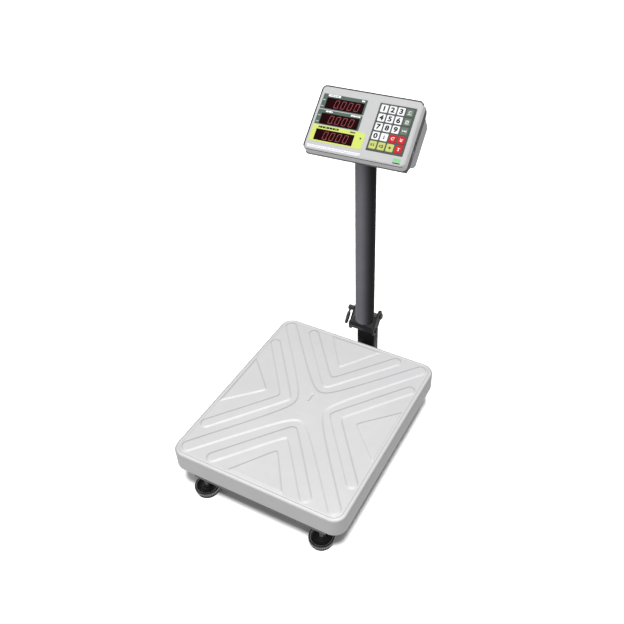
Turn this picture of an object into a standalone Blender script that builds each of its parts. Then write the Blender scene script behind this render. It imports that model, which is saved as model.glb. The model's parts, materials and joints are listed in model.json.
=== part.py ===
"""Folding-column price-computing platform scale.

Metres, +Z up, floor at z = 0, front of the scale towards -Y.
Dimensions below are in millimetres and are turned into metres by MM.
"""
import math

import bmesh
import bpy
from mathutils import Matrix, Vector

for old in list(bpy.data.objects):
    bpy.data.objects.remove(old, do_unlink=True)

MM = 0.001

# ---------------------------------------------------------------- dimensions
ORIGIN_Y = 55.3765
TOP = 131.6              # height of the flat platter top above the floor

PAN_X, PAN_Y = 410.0, 486.0
PAN_SKIRT = 47.0
PAN_R = 30.0             # vertical corner radius
PAN_FILLET = 6.0         # roll from the top face to the skirt
SHEET = 1.5
RIB_H = 1.8
RIB_ANGLE = math.radians(51.0)

FOOT_X, FOOT_Y = 144.0, 215.0
FOOT_R = 28.0
STUD_R = 5.0
SOLE_R, SOLE_T = 24.0, 4.7

BASE_Z0, BASE_Z1 = 53.0, 63.0
SEAM = 0.3               # gap between pieces that touch
CELL_Z0, CELL_Z1 = 68.3, 92.0
LOAD_Z0, LOAD_Z1 = 98.0, 106.0

COLUMN_Y = 274.8         # column axis behind the platter centre
COLUMN_R = 22.8
COLUMN_WALL = 1.6
COLUMN_Z0 = TOP + 46.3
COLUMN_Z1 = TOP + 520.0

PIVOT = (266.0, TOP + 30.0)      # fold pivot: y, z
CLAMP = (289.0, TOP + 58.0)      # clamp screw: y, z
CHEEK_IN, CHEEK_OUT = 29.6, 33.1
CHEEK_R = 14.0
PIN_R = 4.0
SCREW_R = 5.0

POST_X, POST_Y0, POST_Y1 = 23.8, 279.0, 304.0
POST_WALL = 2.0

HEAD_YAW = math.radians(4.5)
HEAD_TILT = math.radians(37.5)
FACE_Y, FACE_Z = -19.5, TOP + 570.1   # face centre from the column axis, height
FACE_U, FACE_V = 217.0, 143.0
FACE_R = 10.0
SHELL_T = 2.5
FRONT_D = 20.0           # depth of the front shell
KEY_W, KEY_H = 14.8, 16.4
KEY_HOLE_W, KEY_HOLE_H = 15.6, 17.2
KEY_COLS = [33.4 + 17.8 * i for i in range(4)]
KEY_ROWS = [41.0 - 19.7 * i for i in range(5)]
KEY_RISE = 1.2
WINDOWS = [(-49.3, 32.4), (-49.3, -2.1), (-49.3, -37.6)]
WINDOW_W, WINDOW_H = 84.0, 25.6

SEG = 32

# ----------------------------------------------------------------- materials


def material(name, colour, rough, metal=0.0):
    m = bpy.data.materials.new(name)
    m.use_nodes = True
    b = m.node_tree.nodes["Principled BSDF"]
    b.inputs["Base Color"].default_value = (*colour, 1.0)
    b.inputs["Roughness"].default_value = rough
    b.inputs["Metallic"].default_value = metal
    m.diffuse_color = (*colour, 1.0)
    return m


STAINLESS = material("stainless", (0.72, 0.72, 0.73), 0.32, 1.0)
STEEL_BLACK = material("black_painted_steel", (0.025, 0.025, 0.027), 0.45, 0.3)
STEEL_GREY = material("dark_grey_tube", (0.06, 0.06, 0.066), 0.4, 0.4)
ZINC = material("zinc_steel", (0.6, 0.6, 0.6), 0.35, 1.0)
ALU = material("aluminium", (0.7, 0.71, 0.73), 0.35, 1.0)
FRAME_GREY = material("frame_paint", (0.12, 0.12, 0.13), 0.5, 0.2)
RUBBER = material("rubber", (0.02, 0.02, 0.02), 0.8)
FOOT_BLACK = material("foot_plastic", (0.015, 0.015, 0.016), 0.5)
CASE_LIGHT = material("case_light_grey", (0.6, 0.6, 0.62), 0.45)
CASE_DARK = material("case_grey", (0.3, 0.3, 0.31), 0.5)
BLACK_PLASTIC = material("black_plastic", (0.02, 0.02, 0.02), 0.4)
WINDOW_RED = material("window_red", (0.05, 0.003, 0.004), 0.1)
FILM = material("overlay_film", (0.22, 0.27, 0.22), 0.4)
KEYPAD = material("keypad_film", (0.12, 0.15, 0.13), 0.45)
KEY_WHITE = material("key_white", (0.88, 0.88, 0.88), 0.4)
KEY_GREY = material("key_grey", (0.2, 0.24, 0.21), 0.4)
KEY_RED = material("key_red", (0.65, 0.01, 0.02), 0.4)
KEY_YELLOW = material("key_yellow", (0.6, 0.62, 0.16), 0.4)
PCB = material("circuit_board", (0.02, 0.16, 0.06), 0.5)
BATTERY = material("battery_case", (0.08, 0.08, 0.09), 0.5)

# ------------------------------------------------------------------- helpers


def bm_box(bm, x0, x1, y0, y1, z0, z1):
    """Add a closed box, in millimetres."""
    v = [bm.verts.new((x * MM, y * MM, z * MM))
         for z in (z0, z1) for y in (y0, y1) for x in (x0, x1)]
    for q in ((0, 2, 3, 1), (4, 5, 7, 6), (0, 1, 5, 4),
              (2, 6, 7, 3), (0, 4, 6, 2), (1, 3, 7, 5)):
        bm.faces.new([v[i] for i in q])
    return bm


def box(x0, x1, y0, y1, z0, z1):
    return bm_box(bmesh.new(), x0, x1, y0, y1, z0, z1)


def prism(outline, axis, lo, hi):
    """Extrude a closed outline of (a, b) points along an axis.

    axis 'x': points are (y, z); 'y': (x, z); 'z': (x, y).
    """
    def place(a, b, t):
        p = {"x": (t, a, b), "y": (a, t, b), "z": (a, b, t)}[axis]
        return Vector(p) * MM
    bm = bmesh.new()
    low = [bm.verts.new(place(a, b, lo)) for a, b in outline]
    high = [bm.verts.new(place(a, b, hi)) for a, b in outline]
    n = len(outline)
    bm.faces.new(low)
    bm.faces.new(list(reversed(high)))
    for i in range(n):
        j = (i + 1) % n
        bm.faces.new([low[i], high[i], high[j], low[j]])
    bmesh.ops.recalc_face_normals(bm, faces=bm.faces)
    return bm


def turned(profile, centre=(0, 0, 0), seg=SEG, axis="z"):
    """Turn a profile of (radius, height) points about an axis.

    Points with radius 0 close the ends; a profile whose first and last points
    are off the axis is closed on itself as a ring.
    """
    bm = bmesh.new()
    rings = []
    for r, h in profile:
        if r < 1e-6:
            rings.append([bm.verts.new((0, 0, h * MM))])
        else:
            rings.append([bm.verts.new((r * MM * math.cos(2 * math.pi * k / seg),
                                        r * MM * math.sin(2 * math.pi * k / seg),
                                        h * MM)) for k in range(seg)])
    pairs = list(zip(rings, rings[1:]))
    if len(rings[0]) > 1 and len(rings[-1]) > 1:
        pairs.append((rings[-1], rings[0]))
    for a, b in pairs:
        for k in range(seg):
            j = (k + 1) % seg
            if len(a) == 1 and len(b) == 1:
                continue
            if len(a) == 1:
                bm.faces.new([a[0], b[k], b[j]])
            elif len(b) == 1:
                bm.faces.new([a[k], b[0], a[j]])
            else:
                bm.faces.new([a[k], b[k], b[j], a[j]])
    bmesh.ops.recalc_face_normals(bm, faces=bm.faces)
    if axis == "x":
        bm.transform(Matrix.Rotation(math.pi / 2, 4, "Y"))
    bm.transform(Matrix.Translation(Vector(centre) * MM))
    return bm


def rod(r, lo, hi, centre=(0, 0), axis="z", seg=SEG):
    """Solid cylinder; centre is (x, y) for z rods and (y, z) for x rods."""
    prof = [(0, lo), (r, lo), (r, hi), (0, hi)]
    c = (centre[0], centre[1], 0) if axis == "z" else (0, centre[0], centre[1])
    return turned(prof, c, seg, axis)


def rounded_rect(w, h, r, steps=6, cx=0.0, cy=0.0):
    """Corner-rounded rectangle outline, counter-clockwise."""
    pts = []
    for sx, sy, a0 in ((1, -1, -90), (1, 1, 0), (-1, 1, 90), (-1, -1, 180)):
        for k in range(steps + 1):
            a = math.radians(a0 + 90 * k / steps)
            pts.append((cx + sx * (w / 2 - r) + r * math.cos(a),
                        cy + sy * (h / 2 - r) + r * math.sin(a)))
    return pts


def capsule(p, q, r, steps=10):
    """Outline of a slot-shaped plate from p to q."""
    d = math.atan2(q[1] - p[1], q[0] - p[0])
    pts = []
    for c, a0 in ((q, d - math.pi / 2), (p, d + math.pi / 2)):
        for k in range(steps + 1):
            a = a0 + math.pi * k / steps
            pts.append((c[0] + r * math.cos(a), c[1] + r * math.sin(a)))
    return pts


def to_mesh(bm, name):
    me = bpy.data.meshes.new(name)
    bm.to_mesh(me)
    bm.free()
    return me


def combine(base, *steps):
    """Boolean chain: each step is ('UNION' | 'DIFFERENCE', bmesh)."""
    body = bpy.data.objects.new("work", to_mesh(base, "work"))
    bpy.context.collection.objects.link(body)
    tools = []
    for kind, bm in steps:
        t = bpy.data.objects.new("cutter", to_mesh(bm, "cutter"))
        bpy.context.collection.objects.link(t)
        t.hide_render = True
        t.display_type = "WIRE"
        m = body.modifiers.new("cut", "BOOLEAN")
        m.operation = kind
        m.solver = "EXACT"
        m.object = t
        tools.append(t)
    bpy.context.view_layer.update()
    deps = bpy.context.evaluated_depsgraph_get()
    me = bpy.data.meshes.new_from_object(body.evaluated_get(deps), depsgraph=deps)
    out = bmesh.new()
    out.from_mesh(me)
    bpy.data.meshes.remove(me)
    for t in tools + [body]:
        bpy.data.objects.remove(t, do_unlink=True)
    bmesh.ops.remove_doubles(out, verts=out.verts, dist=1e-6)
    bmesh.ops.dissolve_degenerate(out, dist=1e-7, edges=out.edges)
    return out


def empty(name, location, rotation=(0, 0, 0), parent=None):
    e = bpy.data.objects.new(name, None)
    e.location = Vector(location) * MM
    e.rotation_euler = rotation
    e.parent = parent
    bpy.context.collection.objects.link(e)
    return e


def part(name, bm, mat, origin=(0, 0, 0), parent=None, smooth=40.0, mesh=None):
    """Make the named object. The mesh is in the platter's frame in metres and
    is moved so that the object's origin lies at `origin` (millimetres)."""
    if mesh is None:
        bm.transform(Matrix.Translation(-Vector(origin) * MM))
        mesh = to_mesh(bm, name)
        mesh.materials.append(mat)
        mesh.shade_smooth()
        mesh.set_sharp_from_angle(angle=math.radians(smooth))
    ob = bpy.data.objects.new(name, mesh)
    bpy.context.collection.objects.link(ob)
    ob.location = Vector(origin) * MM
    if parent is not None:
        ob.parent = parent
        ob.location = (Vector(origin) - Vector(parent["at"])) * MM
    return ob


# The whole scale hangs from one empty that brings its footprint to the origin.
scale_root = empty("scale_root", (0, -ORIGIN_Y, 0))
scale_root["at"] = (0.0, 0.0, 0.0)

# ------------------------------------------------------------------ platform


def mirrored(points):
    return [(-x, y) for x, y in reversed(points)]


def rib_outline(offset, half, x_lim, y_lim, sx, sy, steps=6):
    """One arm of the embossed cross: a bar parallel to the diagonal, shifted
    sideways by `offset`, running from near the centre line to the rim."""
    dx, dy = math.cos(RIB_ANGLE), math.sin(RIB_ANGLE)
    nx, ny = math.sin(RIB_ANGLE), -math.cos(RIB_ANGLE)
    # start on the symmetry line that the arm's partner also meets
    if offset > 0:            # partner across the X axis
        t0 = -offset * ny / dy
    else:                     # partner across the Y axis
        t0 = -offset * nx / dx
    ox, oy = nx * offset, ny * offset
    t1 = min((x_lim - half - ox) / dx, (y_lim - half - oy) / dy)
    p = (ox + dx * t0, oy + dy * t0)
    q = (ox + dx * t1, oy + dy * t1)
    pts = capsule(p, q, half, steps)
    pts = [(sx * x, sy * y) for x, y in pts]
    if sx * sy < 0:
        pts.reverse()
    return pts


def make_pan():
    z0, z1 = TOP - PAN_SKIRT, TOP
    steps = 4
    # outer skin: skirt, rolled edge, top
    sections = [(0.0, z0)]
    for k in range(steps + 1):
        a = math.pi / 2 * k / steps
        sections.append((PAN_FILLET * (1 - math.cos(a)),
                         z1 - PAN_FILLET * (1 - math.sin(a))))
    outer = [(rounded_rect(PAN_X - 2 * i, PAN_Y - 2 * i, PAN_R - i), z)
             for i, z in sections]
    inner = [(rounded_rect(PAN_X - 2 * (0.75 * i + SHEET), PAN_Y - 2 * (0.75 * i + SHEET),
                           PAN_R - SHEET - 0.75 * i), z - (SHEET if k else 0.0))
             for k, (i, z) in enumerate(sections)]
    bm = bmesh.new()

    def ring(pts, z):
        return [bm.verts.new((x * MM, y * MM, z * MM)) for x, y in pts]

    def bridge(a, b):
        n = len(a)
        for i in range(n):
            j = (i + 1) % n
            bm.faces.new([a[i], a[j], b[j], b[i]])
    o = [ring(p, z) for p, z in outer]
    n = [ring(p, z) for p, z in inner]
    for a, b in zip(o, o[1:]):
        bridge(a, b)
    for a, b in zip(n, n[1:]):
        bridge(b, a)
    bridge(n[0], o[0])
    bm.faces.new(o[-1])
    bm.faces.new(list(reversed(n[-1])))
    bmesh.ops.recalc_face_normals(bm, faces=bm.faces)

    low, high = TOP - 0.6, TOP + RIB_H
    ops = []
    for sx in (1, -1):
        for sy in (1, -1):
            for offset, half in ((0.0, 14.0), (-51.5, 13.5), (49.5, 13.5)):
                off = offset
                pts = rib_outline(off, half, 193.0, 229.0, sx, sy)
                ops.append(("UNION", prism(pts, "z", low, high)))
    # triangular fields between the arms
    tan = math.tan(RIB_ANGLE)
    for sy in (1, -1):
        y_edge, apex = 228.0, 88.0 / math.cos(RIB_ANGLE)
        half_w = (y_edge - apex) / tan
        pts = [(-half_w, sy * y_edge), (half_w, sy * y_edge), (0.0, sy * apex)]
        ops.append(("UNION", prism(pts, "z", low, high)))
    for sx in (1, -1):
        x_edge, apex = 191.0, 88.0 / math.sin(RIB_ANGLE)
        half_h = (x_edge - apex) * tan
        pts = [(sx * x_edge, -half_h), (sx * x_edge, half_h), (sx * apex, 0.0)]
        ops.append(("UNION", prism(pts, "z", low, high)))
    return combine(bm, *ops)


pan_axis = empty("pan_lift_axis", (0, 0, TOP), parent=scale_root)
pan_axis["at"] = (0.0, 0.0, TOP)
part("platter_pan", make_pan(), STAINLESS, (0, 0, TOP), pan_axis)


def make_base():
    """Ladder frame of flat bars, with a tongue at the back under the post."""
    z0, z1 = BASE_Z0, BASE_Z1
    bm = box(-161, 161, -229, 229, z0, z1)
    ops = [("DIFFERENCE", box(-121, 121, -36, 199, z0 - 5, z1 + 5)),
           ("DIFFERENCE", box(-121, 121, -199, -84, z0 - 5, z1 + 5)),
           ("UNION", box(-30, 30, 225, 307, z0, z1))]
    # bores for the feet's studs
    for sx in (1, -1):
        for sy in (1, -1):
            ops.append(("DIFFERENCE",
                        rod(STUD_R + SEAM, z0 - 5, z1 + 5, (sx * FOOT_X, sy * FOOT_Y))))
    return combine(bm, *ops)


part("base_frame", make_base(), FRAME_GREY, (0, 0, BASE_Z1), scale_root)


def make_load_frame():
    """Two side bars joined by two cross bars, all lying flat."""
    z0, z1 = LOAD_Z0, LOAD_Z1
    return combine(box(-165, -125, -200, 200, z0, z1),
                   ("UNION", box(125, 165, -200, 200, z0, z1)),
                   ("UNION", box(-130, 130, 38, 82, z0, z1)),
                   ("UNION", box(-130, 130, -82, -38, z0, z1)))


part("load_frame", make_load_frame(), FRAME_GREY, (0, 0, LOAD_Z0), scale_root)

for name, sx, sy in (("front_left", -1, -1), ("front_right", 1, -1),
                     ("rear_left", -1, 1), ("rear_right", 1, 1)):
    c = (sx * 145.0, sy * 180.0)
    part("pan_buffer_" + name,
         rod(12.0, LOAD_Z1 + SEAM, TOP - SHEET - SEAM, c, seg=20), RUBBER,
         (c[0], c[1], LOAD_Z1 + SEAM), scale_root)


def make_cell():
    body = box(-20, 20, -75, 75, CELL_Z0, CELL_Z1)
    zc = (CELL_Z0 + CELL_Z1) / 2
    ops = [("DIFFERENCE", rod(7.0, -30, 30, (y, zc), "x", 20)) for y in (-13, 13)]
    ops.append(("DIFFERENCE", box(-30, 30, -13, 13, zc - 1.5, zc + 1.5)))
    return combine(body, *ops)


part("load_cell", make_cell(), ALU, (0, 0, CELL_Z0), scale_root)
part("cell_spacer_lower", box(-20, 20, -75, -42, BASE_Z1 + SEAM, CELL_Z0 - SEAM),
     ZINC, (0, -58.5, BASE_Z1 + SEAM), scale_root)
part("cell_spacer_upper", box(-20, 20, 42, 75, CELL_Z1 + SEAM, LOAD_Z0 - SEAM),
     ZINC, (0, 58.5, CELL_Z1 + SEAM), scale_root)

# ---------------------------------------------------------------------- feet
WHEEL_Z0, WHEEL_Z1 = SOLE_T + SEAM, 19.5
WHEEL_PROFILE = [(0, WHEEL_Z0), (21, WHEEL_Z0), (26, WHEEL_Z0 + 3.0),
                 (FOOT_R, WHEEL_Z1 - 4.0), (FOOT_R, WHEEL_Z1 - 1.0), (26.5, WHEEL_Z1),
                 (22.5, WHEEL_Z1), (19.0, WHEEL_Z1 - 4.5), (9.0, WHEEL_Z1 - 4.5),
                 (8.0, WHEEL_Z1 + 2.5), (STUD_R, WHEEL_Z1 + 2.5),
                 (STUD_R, BASE_Z1 - 1.0), (STUD_R - 1.0, BASE_Z1), (0, BASE_Z1)]
for name, sx, sy in (("front_left", -1, -1), ("front_right", 1, -1),
                     ("rear_left", -1, 1), ("rear_right", 1, 1)):
    cx, cy = sx * FOOT_X, sy * FOOT_Y
    axis = empty("foot_axis_" + name, (cx, cy, 0), parent=scale_root)
    axis["at"] = (cx, cy, 0.0)
    part("foot_sole_" + name,
         turned([(0, 0), (SOLE_R - 1.2, 0), (SOLE_R, 1.2), (SOLE_R, SOLE_T), (0, SOLE_T)],
                (cx, cy, 0)), RUBBER, (cx, cy, 0), axis)
    part("foot_wheel_" + name, turned(WHEEL_PROFILE, (cx, cy, 0)),
         FOOT_BLACK, (cx, cy, WHEEL_Z0), axis)

# ------------------------------------------------------- post and fold hinge
HINGE_D = Vector((CLAMP[0] - PIVOT[0], CLAMP[1] - PIVOT[1])).normalized()
HINGE_N = Vector((HINGE_D.y, -HINGE_D.x))      # towards the back and down


def hinge_pt(along, out, base=PIVOT):
    """Point in the hinge's own slanted (y, z) frame."""
    return (base[0] + HINGE_D.x * along + HINGE_N.x * out,
            base[1] + HINGE_D.y * along + HINGE_N.y * out)


def make_post():
    slope = HINGE_D.y / HINGE_D.x
    a = hinge_pt(0, CHEEK_R + SEAM)
    top = [(y, a[1] + (y - a[0]) * slope) for y in (POST_Y0, POST_Y1)]
    z_max = TOP + 48.0
    y_flat = a[0] + (z_max - a[1]) / slope
    outline = [(POST_Y0, BASE_Z1 + SEAM), (POST_Y1, BASE_Z1 + SEAM),
               (POST_Y1, z_max), (y_flat, z_max), top[0]]
    w = POST_WALL
    return combine(prism(outline, "x", -POST_X, POST_X),
                   ("DIFFERENCE", box(-POST_X + w, POST_X - w, POST_Y0 + w,
                                      POST_Y1 - w, 0, TOP + 90)))


part("post", make_post(), STEEL_BLACK, (0, (POST_Y0 + POST_Y1) / 2, BASE_Z1 + SEAM),
     scale_root)


def make_bracket():
    outline = capsule(PIVOT, CLAMP, CHEEK_R)
    bm = prism(outline, "x", CHEEK_IN, CHEEK_OUT)
    web = [hinge_pt(-1, 11.0), hinge_pt(-1, 13.8), hinge_pt(35, 13.8), hinge_pt(35, 11.0)]
    ops = [("UNION", prism(outline, "x", -CHEEK_OUT, -CHEEK_IN)),
           ("UNION", prism(web, "x", -CHEEK_IN - 1.5, CHEEK_IN + 1.5)),
           ("DIFFERENCE", rod(PIN_R + 0.2, -50, 50, PIVOT, "x", 24)),
           ("DIFFERENCE", rod(SCREW_R + 0.3, -50, 50, CLAMP, "x", 24))]
    return combine(bm, *ops)


part("hinge_bracket", make_bracket(), STEEL_BLACK, (0, *PIVOT), scale_root)

pin_profile = [(0, -38.0), (6.5, -38.0), (7.5, -37.0), (7.5, -CHEEK_OUT - SEAM),
               (PIN_R, -CHEEK_OUT - SEAM), (PIN_R, CHEEK_OUT + SEAM),
               (7.5, CHEEK_OUT + SEAM), (7.5, 37.0), (6.5, 38.0), (0, 38.0)]
part("hinge_pin", turned(pin_profile, (0, *PIVOT), 24, "x"), ZINC, (0, *PIVOT), scale_root)

# column foot: a block between the cheeks that carries the tube
fold_axis = empty("column_fold_axis", (0, *PIVOT), parent=scale_root)
fold_axis["at"] = (0.0, *PIVOT)


def make_knuckle():
    r = 10.5
    start = math.atan2(HINGE_N.y, HINGE_N.x)
    pts = []
    for k in range(9):
        a = start - (start + math.pi) * k / 8
        pts.append((PIVOT[0] + r * math.cos(a), PIVOT[1] + r * math.sin(a)))
    y_front = 252.6
    pts += [(y_front, PIVOT[1] + 5.0), (y_front, TOP + 46.0), (285.5, TOP + 46.0),
            hinge_pt(22.0, r)]
    return combine(prism(pts, "x", -CHEEK_IN + 0.4, CHEEK_IN - 0.4),
                   ("DIFFERENCE", rod(PIN_R + 0.3, -60, 60, PIVOT, "x", 24)))


part("column_knuckle", make_knuckle(), STEEL_BLACK, (0, *PIVOT), fold_axis)


def make_tube():
    ring = turned([(COLUMN_R - COLUMN_WALL, COLUMN_Z0), (COLUMN_R, COLUMN_Z0),
                   (COLUMN_R, COLUMN_Z1), (COLUMN_R - COLUMN_WALL, COLUMN_Z1)],
                  (0, COLUMN_Y, 0))
    return combine(ring, ("DIFFERENCE", box(-40, 40, 282.0, 320, COLUMN_Z0 - 5, TOP + 65.5)))


part("column_tube", make_tube(), STEEL_GREY, (0, COLUMN_Y, COLUMN_Z0), fold_axis)

# clamp: screw, nut and lever
clamp_axis = empty("clamp_axis", (0, *CLAMP), parent=scale_root)
clamp_axis["at"] = (0.0, *CLAMP)
part("clamp_screw",
     turned([(0, -37.0), (SCREW_R, -37.0), (SCREW_R, 39.6), (SCREW_R - 1, 40.6), (0, 40.6)],
            (0, *CLAMP), 24, "x"), ZINC, (0, *CLAMP), clamp_axis)
hexagon = [(CLAMP[0] + 8.6 * math.cos(math.radians(60 * k)),
            CLAMP[1] + 8.6 * math.sin(math.radians(60 * k))) for k in range(6)]
part("clamp_nut",
     combine(prism(hexagon, "x", CHEEK_OUT + SEAM, 38.6),
             ("DIFFERENCE", rod(SCREW_R + 0.3, 20, 60, CLAMP, "x", 24))),
     ZINC, (0, *CLAMP), scale_root)


def make_lever():
    """Hub on the screw, neck and rounded grip, pointing down and forward."""
    hub = rod(6.2, -51.0, -37.3, CLAMP, "x", 24)

    def stem(profile, seg=16):
        bm = turned(profile, (0, 0, 0), seg)
        # local +z of the turned piece points along -d of the hinge
        down = Vector((0, -HINGE_D.x, -HINGE_D.y))
        rot = Vector((0, 0, 1)).rotation_difference(down).to_matrix().to_4x4()
        bm.transform(Matrix.Translation(Vector((-46.0, *CLAMP)) * MM) @ rot)
        return bm
    return combine(hub, ("UNION", stem([(0, 0.5), (3.2, 0.5), (2.6, 12.0), (4.2, 17.0),
                                        (4.6, 24.0), (4.4, 37.0), (3.2, 41.0), (0, 42.5)])))


part("clamp_lever", make_lever(), BLACK_PLASTIC, (0, *CLAMP), clamp_axis)

# --------------------------------------------------------------------- head
# The head turns about the column axis. Its pieces are drawn in the face's own
# frame: u to the right, v up the slope, h out of the face.
swivel = empty("head_swivel_axis", (0, COLUMN_Y, FACE_Z), (0, 0, HEAD_YAW), fold_axis)
swivel.location = (Vector((0, COLUMN_Y, FACE_Z)) - Vector((0, *PIVOT))) * MM
FACE_FRAME = Matrix.Translation(Vector((0, FACE_Y, 0)) * MM) @ Matrix.Rotation(HEAD_TILT, 4, "X")


def head_part(name, bm, mat, origin=(0, 0, 0), smooth=40.0, mesh=None, turn=0.0):
    """Object placed on the sloping face, with its origin at (u, v, h)."""
    if mesh is None:
        bm.transform(Matrix.Translation(-Vector(origin) * MM))
        mesh = to_mesh(bm, name)
        mesh.materials.append(mat)
        mesh.shade_smooth()
        mesh.set_sharp_from_angle(angle=math.radians(smooth))
    ob = bpy.data.objects.new(name, mesh)
    bpy.context.collection.objects.link(ob)
    ob.parent = swivel
    m = FACE_FRAME @ Matrix.Translation(Vector(origin) * MM) @ Matrix.Rotation(turn, 4, "Z")
    ob.location = m.to_translation()
    ob.rotation_euler = m.to_euler()
    return ob


def column_cutter(r, lo, hi):
    """Vertical cylinder on the column axis, drawn in the face's frame."""
    bm = rod(r, lo - FACE_Z, hi - FACE_Z, (0, 0))
    bm.transform(FACE_FRAME.inverted())
    return bm


KEY_AREA = (22.2, 98.8, -50.9, 52.5)     # u0, u1, v0, v1 of the keypad opening


def make_front():
    steps, ch = 4, 2.5
    rings = [(0.0, -FRONT_D)]
    for k in range(3):
        a = math.pi / 2 * k / 2
        rings.append((ch * (1 - math.cos(a)), -ch * (1 - math.sin(a))))
    bm = bmesh.new()

    def ring(inset, h):
        pts = rounded_rect(FACE_U - 2 * inset, FACE_V - 2 * inset, FACE_R - inset, steps)
        return [bm.verts.new((x * MM, y * MM, h * MM)) for x, y in pts]
    loops = [ring(i, h) for i, h in rings]
    for a, b in zip(loops, loops[1:]):
        for i in range(len(a)):
            j = (i + 1) % len(a)
            bm.faces.new([a[i], a[j], b[j], b[i]])
    bm.faces.new(loops[-1])
    bm.faces.new(list(reversed(loops[0])))
    bmesh.ops.recalc_face_normals(bm, faces=bm.faces)
    t = SHELL_T
    ops = [("DIFFERENCE", prism(rounded_rect(FACE_U - 2 * t, FACE_V - 2 * t, FACE_R - t, steps),
                                "z", -FRONT_D - 5, -t))]
    for cu, cv in WINDOWS:
        ops.append(("DIFFERENCE", box(cu - WINDOW_W / 2, cu + WINDOW_W / 2,
                                      cv - WINDOW_H / 2, cv + WINDOW_H / 2, -10, 5)))
    u0, u1, v0, v1 = KEY_AREA
    ops.append(("DIFFERENCE", box(u0, u1, v0, v1, -10, 5)))
    return combine(bm, *ops)


head_part("front_shell", make_front(), CASE_LIGHT)

# rear shell: flat-backed tray with a deep rounded hump
REAR_PROFILE = [(69.8, 20.3), (69.8, 38.0), (67.0, 42.5), (60.0, 44.5), (56.5, 47.0),
                (57.0, 59.0), (56.0, 71.0), (52.5, 80.0), (45.0, 86.0), (35.0, 88.0),
                (-14.0, 88.0), (-26.0, 84.5), (-36.0, 75.5), (-44.0, 63.0), (-49.5, 50.0),
                (-55.0, 42.0), (-66.5, 37.0), (-69.8, 32.5), (-69.8, 20.3)]
REAR_U, REAR_ROUND = 106.8, 10.0


def rear_solid(inset, front):
    """Closed solid of the rear shell, shrunk by `inset`, starting at depth
    `front`."""
    u_max = REAR_U - inset
    cuts = []
    for k in range(5):
        a = math.pi / 2 * k / 4
        cuts.append((u_max - REAR_ROUND + REAR_ROUND * math.sin(a),
                     88.0 - inset - REAR_ROUND * (1 - math.cos(a))))
    sections = [(-u, cap) for u, cap in reversed(cuts)] + cuts
    bm = bmesh.new()
    loops = []
    for u, cap in sections:
        loop = []
        for v, w in REAR_PROFILE:
            vv = v - math.copysign(min(inset, abs(v)), v)
            ww = front if w < 20.5 else min(w - inset, cap)
            loop.append(bm.verts.new((u * MM, vv * MM, -ww * MM)))
        loops.append(loop)
    n = len(REAR_PROFILE)
    for a, b in zip(loops, loops[1:]):
        for i in range(n):
            j = (i + 1) % n
            bm.faces.new([a[i], a[j], b[j], b[i]])
    bm.faces.new(loops[0])
    bm.faces.new(list(reversed(loops[-1])))
    bmesh.ops.recalc_face_normals(bm, faces=bm.faces)
    bmesh.ops.triangulate(bm, faces=bm.faces)
    bmesh.ops.dissolve_limit(bm, angle_limit=math.radians(0.5), verts=bm.verts, edges=bm.edges)
    return bm


SWITCH = (-29.5, 29.5)     # v, w of the rocker's pivot on the right wall
INLET = (-6.0, 29.5)
COLLAR_R = 27.4
COLLAR_Z0, COLLAR_Z1 = TOP + 484.0, TOP + 512.0


def make_rear():
    return combine(
        rear_solid(0.0, FRONT_D + SEAM),
        ("DIFFERENCE", rear_solid(SHELL_T, FRONT_D - 5)),
        ("DIFFERENCE", column_cutter(COLLAR_R + SEAM, TOP + 380, TOP + 524)),
        ("DIFFERENCE", box(100, 112, SWITCH[0] - 9.2, SWITCH[0] + 9.2,
                           -SWITCH[1] - 6.2, -SWITCH[1] + 6.2)),
        ("DIFFERENCE", box(100, 112, INLET[0] - 7.2, INLET[0] + 7.2,
                           -INLET[1] - 6.2, -INLET[1] + 6.2)))


head_part("rear_shell", make_rear(), CASE_DARK)


def make_collar():
    """Split-free ring that carries the rear shell on the tube."""
    bm = turned([(COLUMN_R + SEAM, COLLAR_Z0), (COLLAR_R - 1.0, COLLAR_Z0),
                 (COLLAR_R, COLLAR_Z0 + 1.0), (COLLAR_R, COLLAR_Z1),
                 (COLUMN_R + SEAM, COLLAR_Z1)], (0, 0, -FACE_Z))
    bm.transform(FACE_FRAME.inverted())
    return bm


head_part("head_collar", make_collar(), BLACK_PLASTIC)

for i, (cu, cv) in enumerate(WINDOWS):
    w, h = WINDOW_W / 2 - SEAM, WINDOW_H / 2 - SEAM
    head_part("display_window_" + ("upper", "middle", "lower")[i],
              box(cu - w, cu + w, cv - h, cv + h, -2.6, -0.5), WINDOW_RED, (cu, cv, -0.5))


def make_overlay():
    z0, z1 = SEAM, SEAM + 0.45
    outline = [(-100.4, -53.0), (13.2, -53.0), (13.2, -16.8), (-4.4, -16.8),
               (-4.4, 52.2), (-100.4, 52.2)]
    ops = [("DIFFERENCE", box(cu - WINDOW_W / 2 + 0.6, cu + WINDOW_W / 2 - 0.6,
                              cv - WINDOW_H / 2 + 0.6, cv + WINDOW_H / 2 - 0.6, -3, 5))
           for cu, cv in WINDOWS]
    return combine(prism(outline, "z", z0, z1), *ops)


head_part("display_overlay", make_overlay(), FILM)


def make_keypad_plate():
    u0, u1, v0, v1 = KEY_AREA
    g = SEAM
    ops = [("DIFFERENCE", box(u - KEY_HOLE_W / 2, u + KEY_HOLE_W / 2,
                              v - KEY_HOLE_H / 2, v + KEY_HOLE_H / 2, -10, 5))
           for u in KEY_COLS for v in KEY_ROWS]
    return combine(box(u0 + g, u1 - g, v0 + g, v1 - g, -2.5, 0.3), *ops)


head_part("keypad_plate", make_keypad_plate(), KEYPAD)

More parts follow.
